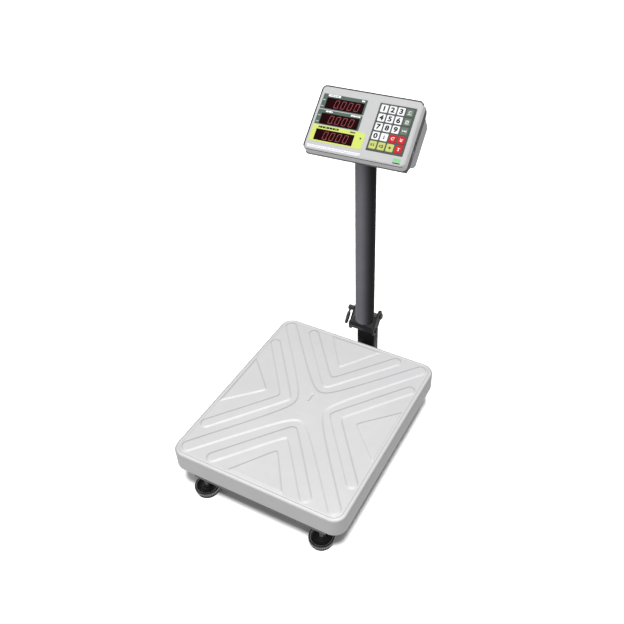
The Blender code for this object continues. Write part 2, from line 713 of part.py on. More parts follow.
KEYS = [["key_1", "key_2", "key_3", "key_unit_price"],
        ["key_4", "key_5", "key_6", "key_memory"],
        ["key_7", "key_8", "key_9", "key_recall"],
        ["key_0", "key_point", "key_clear", "key_zero"],
        ["key_store_1", "key_store_2", "key_add", "key_tare"]]
KEY_PAINT = [[KEY_WHITE] * 3 + [KEY_GREY], [KEY_WHITE] * 3 + [KEY_GREY],
             [KEY_WHITE] * 3 + [KEY_GREY], [KEY_WHITE, KEY_WHITE, KEY_RED, KEY_RED],
             [KEY_YELLOW, KEY_YELLOW, KEY_YELLOW, KEY_RED]]


def make_key(mat):
    bm = bmesh.new()
    low = rounded_rect(KEY_W, KEY_H, 1.2, 2)
    high = rounded_rect(KEY_W - 1.0, KEY_H - 1.0, 1.0, 2)
    loops = [[bm.verts.new((x * MM, y * MM, h * MM)) for x, y in pts]
             for pts, h in ((low, -4.0), (low, KEY_RISE - 0.5), (high, KEY_RISE))]
    for a, b in zip(loops, loops[1:]):
        for i in range(len(a)):
            j = (i + 1) % len(a)
            bm.faces.new([a[i], a[j], b[j], b[i]])
    bm.faces.new(loops[-1])
    bm.faces.new(list(reversed(loops[0])))
    bmesh.ops.recalc_face_normals(bm, faces=bm.faces)
    me = to_mesh(bm, "key")
    me.materials.append(mat)
    me.shade_smooth()
    me.set_sharp_from_angle(angle=math.radians(40))
    return me


key_mesh = {}
for r, row in enumerate(KEYS):
    for c, name in enumerate(row):
        mat = KEY_PAINT[r][c]
        if mat.name not in key_mesh:
            key_mesh[mat.name] = make_key(mat)
        head_part(name, None, mat, (KEY_COLS[c], KEY_ROWS[r], 0), mesh=key_mesh[mat.name])

# electronics
head_part("key_board", box(22, 99, -52, 53, -8.6, -7.0), PCB, (60, 0, -7.8))


def make_display_board():
    bm = box(-96, 0, -54, 54, -14.0, -12.4)
    ops = [("UNION", box(cu - 39, cu + 39, cv - 11, cv + 11, -13.0, -4.0))
           for cu, cv in WINDOWS]
    return combine(bm, *ops)


head_part("display_board", make_display_board(), PCB, (-48, 0, -13.2))
head_part("battery", box(-96, -30, -32, 44, -68, -26), BATTERY, (-63, 6, -47))


def make_switch_housing():
    v, w = SWITCH
    return combine(box(REAR_U + SEAM, REAR_U + 1.9, v - 11, v + 11, -w - 7.6, -w + 7.6),
                   ("UNION", box(94, REAR_U + 1.0, v - 8.9, v + 8.9, -w - 5.9, -w + 5.9)),
                   ("DIFFERENCE", box(98.5, 115, v - 7.9, v + 7.9, -w - 4.6, -w + 4.6)))


head_part("switch_housing", make_switch_housing(), BLACK_PLASTIC, (REAR_U, SWITCH[0], -SWITCH[1]))


def make_rocker():
    """Rocker with a shallow V front, tipped onto its lower half at rest."""
    v0 = SWITCH[0]
    tip = math.radians(7.0)
    pts = [(-3.0, -5.5), (-3.0, 5.5), (1.2, 7.2), (2.9, 7.2), (2.0, 0.0), (2.9, -7.2), (1.2, -7.2)]
    turned_pts = []
    for a, b in pts:
        turned_pts.append((REAR_U + a * math.cos(tip) - b * math.sin(tip),
                           v0 + a * math.sin(tip) + b * math.cos(tip)))
    return prism(turned_pts, "z", -SWITCH[1] - 4.2, -SWITCH[1] + 4.2)


head_part("power_rocker", make_rocker(), BLACK_PLASTIC, (REAR_U, SWITCH[0], -SWITCH[1]))


def make_inlet():
    v, w = INLET
    return combine(box(REAR_U + SEAM, REAR_U + 1.9, v - 9, v + 9, -w - 7.6, -w + 7.6),
                   ("UNION", box(93, REAR_U + 1.0, v - 6.9, v + 6.9, -w - 5.9, -w + 5.9)),
                   ("DIFFERENCE", box(97, 115, v - 5.2, v + 5.2, -w - 4.2, -w + 4.2)),
                   ("UNION", box(96, 101, v - 1.1, v + 1.1, -w - 1.1, -w + 1.1)))


head_part("charge_inlet", make_inlet(), BLACK_PLASTIC, (REAR_U, INLET[0], -INLET[1]))
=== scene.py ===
import json
import math

import bmesh
import bpy
import numpy as np
from mathutils import Matrix, Vector

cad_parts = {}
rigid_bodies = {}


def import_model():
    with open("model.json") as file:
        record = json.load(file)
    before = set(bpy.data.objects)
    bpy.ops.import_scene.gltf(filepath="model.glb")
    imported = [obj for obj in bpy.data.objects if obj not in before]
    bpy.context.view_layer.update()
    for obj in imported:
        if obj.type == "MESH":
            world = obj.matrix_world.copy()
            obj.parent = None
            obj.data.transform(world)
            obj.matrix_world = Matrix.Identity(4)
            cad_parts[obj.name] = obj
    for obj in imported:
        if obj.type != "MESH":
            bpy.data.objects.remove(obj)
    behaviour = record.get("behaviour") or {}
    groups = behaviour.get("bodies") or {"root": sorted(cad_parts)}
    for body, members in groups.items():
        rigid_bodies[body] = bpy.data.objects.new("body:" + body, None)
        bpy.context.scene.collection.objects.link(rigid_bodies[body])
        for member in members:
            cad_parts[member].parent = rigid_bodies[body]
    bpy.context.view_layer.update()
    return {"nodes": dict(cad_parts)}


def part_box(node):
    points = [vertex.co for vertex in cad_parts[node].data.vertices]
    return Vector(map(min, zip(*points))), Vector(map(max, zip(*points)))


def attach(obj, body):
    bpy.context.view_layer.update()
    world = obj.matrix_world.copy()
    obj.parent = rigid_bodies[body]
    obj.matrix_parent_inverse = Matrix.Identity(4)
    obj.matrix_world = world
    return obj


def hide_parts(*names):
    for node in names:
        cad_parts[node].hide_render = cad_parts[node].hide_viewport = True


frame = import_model()
NODES = frame["nodes"]
scene = bpy.context.scene

MM = 0.001
# the platter's own frame: x right, y back from the platter's centre, z up from
# the floor, all in millimetres; the platter's centre comes from the CAD box
_pan_lo, _pan_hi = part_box("platter_pan")
PAN_CY = (_pan_lo.y + _pan_hi.y) / 2 / MM
PAN_HX = (_pan_hi.x - _pan_lo.x) / 2 / MM
PAN_HY = (_pan_hi.y - _pan_lo.y) / 2 / MM
RIB_H = 1.8
TOP = _pan_hi.z / MM - RIB_H
BOTTOM = _pan_lo.z / MM

PIVOT = (266.0, TOP + 30.0)
CLAMP = (289.0, TOP + 58.0)
CHEEK_IN, CHEEK_OUT, CHEEK_R = 29.6, 33.1, 14.0
COLUMN_Y, COLUMN_R = 274.8, 22.8
HEAD_YAW, HEAD_TILT = math.radians(4.5), math.radians(37.5)
FACE_Z = TOP + 570.1
FACE_U, FACE_V, FACE_R, FRONT_D = 217.0, 143.0, 10.0, 20.0

PLAT = Matrix.Translation(Vector((0, PAN_CY, 0)) * MM)
SWIVEL = PLAT @ Matrix.Translation(Vector((0, COLUMN_Y, FACE_Z)) * MM) \
    @ Matrix.Rotation(HEAD_YAW, 4, "Z")
HEAD = SWIVEL @ Matrix.Translation(Vector((0, -19.5, 0)) * MM) @ Matrix.Rotation(HEAD_TILT, 4, "X")

# ------------------------------------------------------------------ materials


class Mat:
    """Small builder for procedural materials in object coordinates (metres)."""

    def __init__(self, name):
        self.m = bpy.data.materials.new(name)
        self.m.use_nodes = True
        self.nt = self.m.node_tree
        self.bsdf = self.nt.nodes["Principled BSDF"]
        self.tc = self.nt.nodes.new("ShaderNodeTexCoord")

    def link(self, a, b):
        self.nt.links.new(a, b)

    def node(self, kind, **props):
        n = self.nt.nodes.new(kind)
        for k, v in props.items():
            setattr(n, k, v)
        return n

    def coords(self, scale=(1, 1, 1)):
        mp = self.node("ShaderNodeMapping")
        mp.inputs["Scale"].default_value = scale
        self.link(self.tc.outputs["Object"], mp.inputs["Vector"])
        return mp.outputs["Vector"]

    def noise(self, scale, detail=3.0, rough=0.55, stretch=(1, 1, 1), seed=0.0):
        n = self.node("ShaderNodeTexNoise", noise_dimensions="4D")
        n.inputs["Scale"].default_value = scale
        n.inputs["Detail"].default_value = detail
        n.inputs["Roughness"].default_value = rough
        n.inputs["W"].default_value = seed
        self.link(self.coords(stretch), n.inputs["Vector"])
        return n.outputs["Fac"]

    def span(self, value, lo, hi, a=0.3, b=0.7):
        r = self.node("ShaderNodeMapRange")
        r.inputs["From Min"].default_value = a
        r.inputs["From Max"].default_value = b
        r.inputs["To Min"].default_value = lo
        r.inputs["To Max"].default_value = hi
        self.link(value, r.inputs["Value"])
        return r.outputs["Result"]

    def math(self, op, a, b):
        n = self.node("ShaderNodeMath", operation=op)
        for i, v in enumerate((a, b)):
            if isinstance(v, (int, float)):
                n.inputs[i].default_value = v
            else:
                self.link(v, n.inputs[i])
        return n.outputs["Value"]

    def mix(self, fac, a, b, blend="MIX"):
        n = self.node("ShaderNodeMix", data_type="RGBA", blend_type=blend)
        for key, v in ((0, fac), (6, a), (7, b)):
            if isinstance(v, (int, float)):
                n.inputs[key].default_value = v
            elif isinstance(v, (tuple, list)):
                n.inputs[key].default_value = (*v[:3], 1.0)
            else:
                self.link(v, n.inputs[key])
        return n.outputs[2]

    def edges(self, radius, gain=6.0):
        """Mask that is high along outside edges."""
        bv = self.node("ShaderNodeBevel", samples=4)
        bv.inputs["Radius"].default_value = radius
        geo = self.node("ShaderNodeNewGeometry")
        dot = self.node("ShaderNodeVectorMath", operation="DOT_PRODUCT")
        self.link(bv.outputs["Normal"], dot.inputs[0])
        self.link(geo.outputs["Normal"], dot.inputs[1])
        inv = self.math("SUBTRACT", 1.0, dot.outputs["Value"])
        out = self.math("MULTIPLY", inv, gain)
        out.node.use_clamp = True
        return out

    def bump(self, height, strength, distance, chain=None):
        b = self.node("ShaderNodeBump")
        b.inputs["Strength"].default_value = strength
        b.inputs["Distance"].default_value = distance
        self.link(height, b.inputs["Height"])
        if chain is not None:
            self.link(chain, b.inputs["Normal"])
        return b.outputs["Normal"]

    def set(self, key, value):
        if isinstance(value, (int, float)):
            self.bsdf.inputs[key].default_value = value
        elif isinstance(value, (tuple, list)):
            self.bsdf.inputs[key].default_value = (*value[:3], 1.0)
        else:
            self.link(value, self.bsdf.inputs[key])


def srgb(r, g, b, gain=0.74):
    def f(c):
        c /= 255.0
        return c / 12.92 if c <= 0.04045 else ((c + 0.055) / 1.055) ** 2.4
    return (f(r) * gain, f(g) * gain, f(b) * gain)


def tone(c, k):
    return tuple(min(1.0, x * k) for x in c)


def solid(name, colour, rough, metal=0.0, vary=0.08, patch=25.0, grain=900.0,
          grain_mm=0.02, rough_vary=0.08, wear=0.0, wear_colour=None, coat=0.0, spec=0.5,
          wear_radius=0.0006, dust=0.0):
    """Moulded, painted or cast finish: patchy colour, fine grain, uneven gloss
    and, where asked, lighter worn edges and a film of dust on upward faces."""
    m = Mat(name)
    big = m.noise(patch, 4.0, 0.6)
    small = m.noise(grain, 2.0, 0.6, seed=3.0)
    col = m.mix(m.span(big, 0.0, 1.0), tone(colour, 1 - vary), tone(colour, 1 + vary))
    col = m.mix(m.span(small, 0.0, 0.25, 0.4, 0.8), col, tone(colour, 1 + 2 * vary))
    r = m.math("ADD", m.span(big, rough - rough_vary, rough + rough_vary),
               m.span(small, -0.02, 0.02))
    if dust:
        geo = m.node("ShaderNodeNewGeometry")
        sep = m.node("ShaderNodeSeparateXYZ")
        m.link(geo.outputs["Normal"], sep.inputs["Vector"])
        up = m.span(sep.outputs["Z"], 0.0, dust, 0.4, 1.0)
        up = m.math("MULTIPLY", up, m.span(m.noise(60.0, 5.0, 0.7, seed=8.0), 0.3, 1.0, 0.3, 0.7))
        col = m.mix(up, col, (0.45, 0.43, 0.4))
        r = m.math("ADD", r, m.math("MULTIPLY", up, 0.3))
    if wear:
        mask = m.math("MULTIPLY", m.edges(wear_radius),
                      m.span(m.noise(220.0, 4.0, 0.7, seed=5.0), 0.0, wear, 0.45, 0.65))
        col = m.mix(mask, col, wear_colour or tone(colour, 2.5))
        r = m.math("ADD", r, m.math("MULTIPLY", mask, -0.1))
    m.set("Base Color", col)
    m.set("Roughness", r)
    m.set("Metallic", metal)
    m.set("Specular IOR Level", spec)
    if coat:
        m.set("Coat Weight", coat)
        m.set("Coat Roughness", 0.12)
    m.set("Normal", m.bump(small, 0.5, grain_mm * MM,
                           m.bump(big, 0.25, 0.15 * MM)))
    return m.m


def stainless(name):
    """Cold-rolled sheet: soft cloudy reflection, faint rolling grain lengthways
    on the top, gentle waviness, scuffs and wiped smudges."""
    m = Mat(name)
    geo = m.node("ShaderNodeNewGeometry")
    sep = m.node("ShaderNodeSeparateXYZ")
    m.link(geo.outputs["Normal"], sep.inputs["Vector"])
    flat = m.span(sep.outputs["Z"], 0.0, 1.0, 0.6, 0.95)
    smudge = m.noise(9.0, 5.0, 0.65)
    cloud = m.noise(38.0, 4.0, 0.6, seed=2.0)
    grain = m.noise(1.0, 2.0, 0.6, stretch=(1500, 14, 220), seed=4.0)
    grain_side = m.noise(1.0, 2.0, 0.6, stretch=(24, 24, 1600), seed=6.0)
    line = m.math("ADD", m.math("MULTIPLY", grain, flat),
                  m.math("MULTIPLY", grain_side, m.math("SUBTRACT", 1.0, flat)))
    scratch = m.noise(1.0, 0.0, 0.5, stretch=(240, 900, 300), seed=9.0)
    scratch = m.span(scratch, 0.0, 1.0, 0.76, 0.80)
    col = m.mix(m.span(smudge, 0.0, 1.0), (0.455, 0.455, 0.457), (0.50, 0.50, 0.50))
    col = m.mix(m.span(line, 0.0, 0.35, 0.3, 0.75), col, (0.52, 0.52, 0.52))
    r = m.math("ADD", m.span(cloud, 0.42, 0.50), m.span(line, -0.03, 0.03))
    r = m.math("ADD", r, m.span(smudge, -0.03, 0.05))
    r = m.math("SUBTRACT", r, m.math("MULTIPLY", scratch, 0.08))
    m.set("Base Color", col)
    m.set("Metallic", 1.0)
    m.set("Roughness", r)
    n = m.bump(m.noise(11.0, 2.0, 0.5, seed=12.0), 0.35, 0.5 * MM)
    n = m.bump(line, 0.22, 0.02 * MM, n)
    m.set("Normal", m.bump(scratch, 0.3, 0.02 * MM, n))
    return m.m


def bright_steel(name, colour=(0.62, 0.62, 0.6), rough=0.3):
    """Zinc-plated or turned steel with fine turning lines and dull patches."""
    m = Mat(name)
    patch = m.noise(120.0, 4.0, 0.6)
    fine = m.noise(1.0, 2.0, 0.5, stretch=(3200, 400, 400), seed=2.0)
    m.set("Base Color", m.mix(m.span(patch, 0.0, 1.0), tone(colour, 0.8), tone(colour, 1.15)))
    m.set("Metallic", 1.0)
    m.set("Roughness", m.math("ADD", m.span(patch, rough - 0.06, rough + 0.12),
                              m.span(fine, -0.03, 0.03)))
    m.set("Normal", m.bump(fine, 0.25, 0.02 * MM))
    return m.m


def board(name):
    m = Mat(name)
    tracks = m.node("ShaderNodeTexVoronoi", feature="DISTANCE_TO_EDGE")
    tracks.inputs["Scale"].default_value = 180.0
    m.link(m.coords(), tracks.inputs["Vector"])
    line = m.span(tracks.outputs["Distance"], 1.0, 0.0, 0.03, 0.06)
    m.set("Base Color", m.mix(line, (0.012, 0.11, 0.035), (0.03, 0.24, 0.09)))
    m.set("Roughness", m.span(m.noise(90.0), 0.35, 0.55))
    m.set("Normal", m.bump(line, 0.4, 0.04 * MM))
    return m.m


def glass_red(name):
    """Dark red acrylic with faint dust and a soft inner unevenness."""
    m = Mat(name)
    n = m.noise(70.0, 4.0, 0.6)
    m.set("Base Color", m.mix(m.span(n, 0.0, 1.0), (0.009, 0.0008, 0.0014), (0.014, 0.0012, 0.0022)))
    m.set("Roughness", m.span(m.noise(300.0, 3.0, seed=4.0), 0.20, 0.32))
    m.set("Specular IOR Level", 0.02)
    m.set("Normal", m.bump(n, 0.15, 0.05 * MM))
    return m.m


def glow(name, colour, strength, base):
    """LED segment: lit or nearly dark, slightly uneven along its length."""
    m = Mat(name)
    n = m.noise(600.0, 2.0)
    m.set("Base Color", m.mix(m.span(n, 0.0, 1.0), tone(base, 0.8), base))
    m.set("Roughness", m.span(n, 0.35, 0.5))
    m.set("Emission Color", m.mix(m.span(n, 0.0, 1.0), tone(colour, 0.85), colour))
    m.set("Emission Strength", strength)
    m.set("Specular IOR Level", 0.04)
    return m.m


def printed(name, colour, rough=0.38, vary=0.04, dots=0.06):
    """Screen-printed polyester film: fine stipple, slight orange peel."""
    m = Mat(name)
    n = m.noise(45.0, 3.0, 0.6)
    stipple = m.noise(2600.0, 1.0, 0.5, seed=7.0)
    col = m.mix(m.span(n, 0.0, 1.0), tone(colour, 1 - vary), tone(colour, 1 + vary))
    col = m.mix(m.span(stipple, 0.0, dots * 4, 0.5, 0.8), col, tone(colour, 1 + 3 * dots))
    m.set("Base Color", col)
    m.set("Roughness", m.math("ADD", m.span(n, rough - 0.05, rough + 0.05),
                              m.span(stipple, -0.02, 0.02)))
    m.set("Specular IOR Level", 0.25)
    m.set("Normal", m.bump(stipple, 0.35, 0.012 * MM, m.bump(n, 0.2, 0.05 * MM)))
    return m.m


def shaded(mat, left, right):
    """Painted shade: scale a finish's base colour by the world x of its normal, so that it deepens towards
    the side that faces right, standing in for the shade that a light from the left leaves there."""
    nt = mat.node_tree
    bsdf = nt.nodes["Principled BSDF"]
    src = bsdf.inputs["Base Color"].links[0].from_socket
    geo = nt.nodes.new("ShaderNodeNewGeometry")
    sep = nt.nodes.new("ShaderNodeSeparateXYZ")
    ramp = nt.nodes.new("ShaderNodeMapRange")
    ramp.interpolation_type = "SMOOTHSTEP"
    for key, v in (("From Min", -0.1), ("From Max", 1.0), ("To Min", left), ("To Max", right)):
        ramp.inputs[key].default_value = v
    mul = nt.nodes.new("ShaderNodeVectorMath")
    mul.operation = "SCALE"
    nt.links.new(geo.outputs["Normal"], sep.inputs["Vector"])
    nt.links.new(sep.outputs["X"], ramp.inputs["Value"])
    nt.links.new(src, mul.inputs[0])
    nt.links.new(ramp.outputs["Result"], mul.inputs["Scale"])
    nt.links.new(mul.outputs["Vector"], bsdf.inputs["Base Color"])
    return mat


PAINT_BLACK = solid("black_paint", (0.006, 0.006, 0.007), 0.36, 0.0, 0.15, 30, 700, 0.05,
                    wear=0.9, wear_colour=(0.09, 0.09, 0.092), dust=0.008, spec=0.20)
PAINT_TUBE = solid("tube_paint", (0.0262, 0.0262, 0.029), 0.46, 0.0, 0.08, 14, 800, 0.05,
                   wear=0.8, wear_colour=(0.1, 0.1, 0.105), spec=0.03)
# painted shade: the tube's paint is lighter on its left side and darker on its right side
shaded(PAINT_TUBE, 5.3, 0.45)
PAINT_FRAME = solid("frame_paint", (0.09, 0.09, 0.095), 0.5, 0.0, 0.15, 18, 500, 0.06,
                    wear=0.9, wear_colour=(0.3, 0.29, 0.28), dust=0.3)
STEEL = bright_steel("zinc_steel")
DARK_STEEL = bright_steel("blackened_steel", (0.10, 0.10, 0.10), 0.38)
ALU = bright_steel("milled_aluminium", (0.72, 0.73, 0.75), 0.33)
SHEET_STEEL = stainless("stainless_sheet")
RUBBER = solid("rubber_black", (0.02, 0.02, 0.02), 0.78, 0.0, 0.2, 60, 500, 0.08, dust=0.25, spec=0.3)
FOOT_PLASTIC = solid("foot_plastic", (0.008, 0.008, 0.0085), 0.27, 0.0, 0.2, 60, 900, 0.05,
                     wear=0.8, wear_colour=(0.06, 0.06, 0.06), dust=0.02, spec=0.22)
# pale grey for the foot's rubbed edges, partly a painted highlight
FOOT_WORN_AND_HIGHLIGHT = solid("foot_worn_edge_and_painted_highlight", (0.20, 0.20, 0.20), 0.34, 0.0, 0.2, 60, 900, 0.04)
CASE_RIM = solid("case_rim", (0.43, 0.43, 0.432), 0.46, 0.0, 0.05, 20, 1300, 0.05,
                 wear=0.5, wear_colour=(0.38, 0.38, 0.38))
CASE_REAR = solid("case_rear", (0.26, 0.26, 0.263), 0.48, 0.0, 0.06, 16, 1100, 0.06,
                  wear=0.5, wear_colour=(0.30, 0.30, 0.30), dust=0.05, spec=0.3)
# painted shade: dark colour for the face's top and left edges
EDGE_SHADE_DARK = solid("painted_edge_shade", (0.028, 0.028, 0.030), 0.6, 0.0, 0.1, 20, 1300, 0.04, spec=0.05)
PLASTIC_BLACK = solid("plastic_black", (0.006, 0.006, 0.0065), 0.36, 0.0, 0.15, 60, 1000, 0.04,
                      wear=0.6, wear_colour=(0.05, 0.05, 0.05))
FACE_FILM = printed("face_film", srgb(203, 203, 203), 0.42, 0.025)
PANEL_FILM = printed("panel_film", srgb(78, 98, 88), 0.42)
TOTAL_FILM = printed("total_film", srgb(216, 230, 112), 0.42)
KEY_FILM = printed("keypad_film", srgb(72, 86, 79), 0.45)
KEY_MATS = {
    "white": solid("key_white", srgb(250, 250, 252), 0.42, 0, 0.02, 40, 1500, 0.02, spec=0.22),
    "grey": solid("key_grey", srgb(104, 118, 106), 0.42, 0, 0.05, 40, 1500, 0.02, spec=0.22),
    "red": solid("key_red", srgb(206, 10, 20), 0.40, 0, 0.05, 40, 1500, 0.02, spec=0.22),
    "yellow": solid("key_yellow", srgb(208, 214, 118), 0.42, 0, 0.04, 40, 1500, 0.02, spec=0.22),
}
INK = solid("ink_black", (0.008, 0.008, 0.008), 0.5, 0, 0.2, 200, 2000, 0.005, spec=0.15)
INK_WHITE = solid("ink_white", (0.82, 0.82, 0.82), 0.5, 0, 0.04, 200, 2000, 0.005)
INK_GREY = solid("ink_grey", srgb(150, 152, 158), 0.5, 0, 0.05, 200, 2000, 0.005)
INK_PAPER = solid("ink_paper", srgb(236, 233, 242, 0.92), 0.5, 0, 0.04, 200, 2000, 0.005)
INK_PALE = solid("ink_pale", srgb(176, 190, 180), 0.5, 0, 0.05, 200, 2000, 0.005)
MARK_GREEN = solid("mark_green", srgb(128, 214, 140), 0.45, 0, 0.08, 200, 2000, 0.005)
# painted shade for the tray's side walls of the rear shell
CASE_WALL_SHADE = solid("case_wall_painted_shade", (0.046, 0.046, 0.048), 0.5, 0.0, 0.08, 20, 1100, 0.05,
                  wear=0.5, wear_colour=(0.14, 0.14, 0.14), spec=0.25)
WINDOW = glass_red("window_acrylic")
LED_ON = glow("led_on", (0.56, 0.135, 0.150), 0.85, (0.06, 0.006, 0.008))
BOARD = board("circuit_board")
BATTERY = solid("battery_case", (0.05, 0.05, 0.055), 0.45, 0, 0.1, 60, 900, 0.03)

# ---------------------------------------------------------------- mesh helpers


def new_bm():
    return bmesh.new()


def quad_strip(bm, a, b, closed=True):
    n = len(a)
    for i in range(n if closed else n - 1):
        j = (i + 1) % n
        bm.faces.new([a[i], a[j], b[j], b[i]])


def prism(outline, axis, lo, hi):
    def place(a, b, t):
        p = {"x": (t, a, b), "y": (a, t, b), "z": (a, b, t)}[axis]
        return Vector(p) * MM
    bm = new_bm()
    low = [bm.verts.new(place(a, b, lo)) for a, b in outline]
    high = [bm.verts.new(place(a, b, hi)) for a, b in outline]
    bm.faces.new(low)
    bm.faces.new(list(reversed(high)))
    quad_strip(bm, low, high)
    bmesh.ops.recalc_face_normals(bm, faces=bm.faces)
    return bm


def box(x0, x1, y0, y1, z0, z1):
    return prism([(x0, y0), (x1, y0), (x1, y1), (x0, y1)], "z", z0, z1)


def turned(profile, seg=64, axis="z", shape=None):
    """Turn (radius, height) points; shape(angle, radius, height) may change the
    radius, for knurls and threads."""
    bm = new_bm()
    rings = []
    for r, h in profile:
        if r < 1e-6:
            rings.append([bm.verts.new((0, 0, h * MM))])
            continue
        ring = []
        for k in range(seg):
            a = 2 * math.pi * k / seg
            rr = shape(a, r, h) if shape else r
            ring.append(bm.verts.new((rr * MM * math.cos(a), rr * MM * math.sin(a), h * MM)))
        rings.append(ring)
    pairs = list(zip(rings, rings[1:]))
    if len(rings[0]) > 1 and len(rings[-1]) > 1:
        pairs.append((rings[-1], rings[0]))
    for a, b in pairs:
        for k in range(seg):
            j = (k + 1) % seg
            if len(a) == 1 and len(b) == 1:
                continue
            if len(a) == 1:
                bm.faces.new([a[0], b[k], b[j]])
            elif len(b) == 1:
                bm.faces.new([a[k], b[0], a[j]])
            else:
                bm.faces.new([a[k], b[k], b[j], a[j]])
    bmesh.ops.recalc_face_normals(bm, faces=bm.faces)
    if axis == "x":
        bm.transform(Matrix.Rotation(math.pi / 2, 4, "Y"))
    return bm


def moved(bm, x, y, z):
    bm.transform(Matrix.Translation(Vector((x, y, z)) * MM))
    return bm


def rounded_rect(w, h, r, steps=8, cx=0.0, cy=0.0):
    pts = []
    for sx, sy, a0 in ((1, -1, -90), (1, 1, 0), (-1, 1, 90), (-1, -1, 180)):
        for k in range(steps + 1):
            a = math.radians(a0 + 90 * k / steps)
            pts.append((cx + sx * (w / 2 - r) + r * math.cos(a),
                        cy + sy * (h / 2 - r) + r * math.sin(a)))
    return pts


def capsule(p, q, r, steps=24):
    d = math.atan2(q[1] - p[1], q[0] - p[0])
    pts = []
    for c, a0 in ((q, d - math.pi / 2), (p, d + math.pi / 2)):
        for k in range(steps + 1):
            a = a0 + math.pi * k / steps
            pts.append((c[0] + r * math.cos(a), c[1] + r * math.sin(a)))
    return pts


def chaikin(pts, times=2, closed=True):
    for _ in range(times):
        out = []
        n = len(pts)
        rng = range(n) if closed else range(n - 1)
        if not closed:
            out.append(pts[0])
        for i in rng:
            a, b = pts[i], pts[(i + 1) % n]
            out.append((a[0] * 0.75 + b[0] * 0.25, a[1] * 0.75 + b[1] * 0.25))
            out.append((a[0] * 0.25 + b[0] * 0.75, a[1] * 0.25 + b[1] * 0.75))
        if not closed:
            out.append(pts[-1])
        pts = out
    return pts


def to_mesh(bm, name):
    me = bpy.data.meshes.new(name)
    bm.to_mesh(me)
    bm.free()
    return me


def combine(base, *steps, weld=1e-6):
    body = bpy.data.objects.new("work", to_mesh(base, "work"))
    scene.collection.objects.link(body)
    tools = []
    for kind, bm in steps:
        t = bpy.data.objects.new("tool", to_mesh(bm, "tool"))
        scene.collection.objects.link(t)
        m = body.modifiers.new("cut", "BOOLEAN")
        m.operation, m.solver, m.object = kind, "EXACT", t
        tools.append(t)
    bpy.context.view_layer.update()
    deps = bpy.context.evaluated_depsgraph_get()
    me = bpy.data.meshes.new_from_object(body.evaluated_get(deps), depsgraph=deps)
    out = new_bm()
    out.from_mesh(me)
    bpy.data.meshes.remove(me)
    for t in tools + [body]:
        bpy.data.objects.remove(t, do_unlink=True)
    bmesh.ops.remove_doubles(out, verts=out.verts, dist=weld)
    bmesh.ops.dissolve_degenerate(out, dist=1e-7, edges=out.edges)
    return out


def piece(name, bm, material, body, replaces=(), slot=None, matrix=PLAT, smooth=35.0,
          bevel=0.0, bevel_segments=2, bevel_angle=30.0, mesh=None, materials=None):
    """Make a shown piece, in place, riding on a CAD body."""
    if mesh is None:
        bm.transform(matrix)
        mesh = to_mesh(bm, name)
        for mm in (materials or [material]):
            mesh.materials.append(mm)
        if smooth:
            mesh.shade_smooth()
            mesh.set_sharp_from_angle(angle=math.radians(smooth))
    ob = bpy.data.objects.new(name, mesh)
    scene.collection.objects.link(ob)
    if bevel:
        m = ob.modifiers.new("soft_edges", "BEVEL")
        m.width = bevel * MM
        m.segments = bevel_segments
        m.limit_method = "ANGLE"
        m.angle_limit = math.radians(bevel_angle)
        m.use_clamp_overlap = True
        m.harden_normals = False
        bpy.context.view_layer.update()
        deps = bpy.context.evaluated_depsgraph_get()
        me = bpy.data.meshes.new_from_object(ob.evaluated_get(deps), depsgraph=deps)
        ob.modifiers.clear()
        ob.data = me
        me.shade_smooth()
        me.set_sharp_from_angle(angle=math.radians(max(smooth, 40.0)))
    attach(ob, body)
    if replaces:
        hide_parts(*replaces)
    return ob


def keep(node, material):
    """A CAD node that stays, with its better material."""
    ob = NODES[node]
    if not ob.material_slots:
        ob.data.materials.append(material)
    for s in ob.material_slots:
        s.material = material


def thread(core, outer, pitch, hand=1.0):
    def shape(a, r, h):
        if r < outer - 1e-3:
            return r
        t = (h / pitch - hand * a / (2 * math.pi)) % 1.0
        return core + (outer - core) * (1 - abs(2 * t - 1)) ** 0.8
    return shape


# ------------------------------------------------------------------ stage

cam_data = bpy.data.cameras.new("camera")
cam = bpy.data.objects.new("camera", cam_data)
scene.collection.objects.link(cam)
cam_data.sensor_width = 36.0
cam_data.lens = 42.38
cam_data.shift_x = -0.0753
cam_data.shift_y = 0.001
cam.location = Vector((600.5, -949.0 + PAN_CY, 1226.1 + TOP)) * MM
cam.rotation_euler = (math.radians(90 - 40.36), 0.0, math.radians(26.74))
scene.camera = cam


def make_floor():
    m = Mat("floor_paper")
    n = m.noise(3.0, 3.0)
    m.set("Base Color", m.mix(m.span(n, 0.0, 1.0), (0.28, 0.28, 0.28), (0.295, 0.295, 0.295)))
    m.set("Roughness", 0.9)
    m.set("Specular IOR Level", 0.1)
    bm = new_bm()
    n_side, size = 24, 14.0
    bmesh.ops.create_grid(bm, x_segments=n_side, y_segments=n_side, size=size)
    me = to_mesh(bm, "floor")
    me.materials.append(m.m)
    ob = bpy.data.objects.new("floor", me)
    scene.collection.objects.link(ob)
    ob.location = (0, 0, -0.0003)
    # the paper is lit far brighter than the scale, so it doesn't light it in turn
    ob.visible_diffuse = False
    ob.visible_glossy = False
    return ob


FLOOR = make_floor()


def sun(name, towards, strength, angle):
    """Distant soft light coming from the given direction."""
    d = bpy.data.lights.new(name, "SUN")
    d.energy = strength
    d.angle = math.radians(angle)
    ob = bpy.data.objects.new(name, d)
    scene.collection.objects.link(ob)
    ob.rotation_euler = Vector(towards).to_track_quat("Z", "Y").to_euler()
    return ob


sun("key_light", (-0.03, -0.02, 0.99), 0.42, 44)
# the paper has its own light, from over the viewer's shoulder
paper = sun("paper_light", (0.19, -0.29, 0.94), 13.8, 10)
only_floor = bpy.data.collections.new("paper_only")
only_floor.objects.link(FLOOR)
paper.light_linking.receiver_collection = only_floor

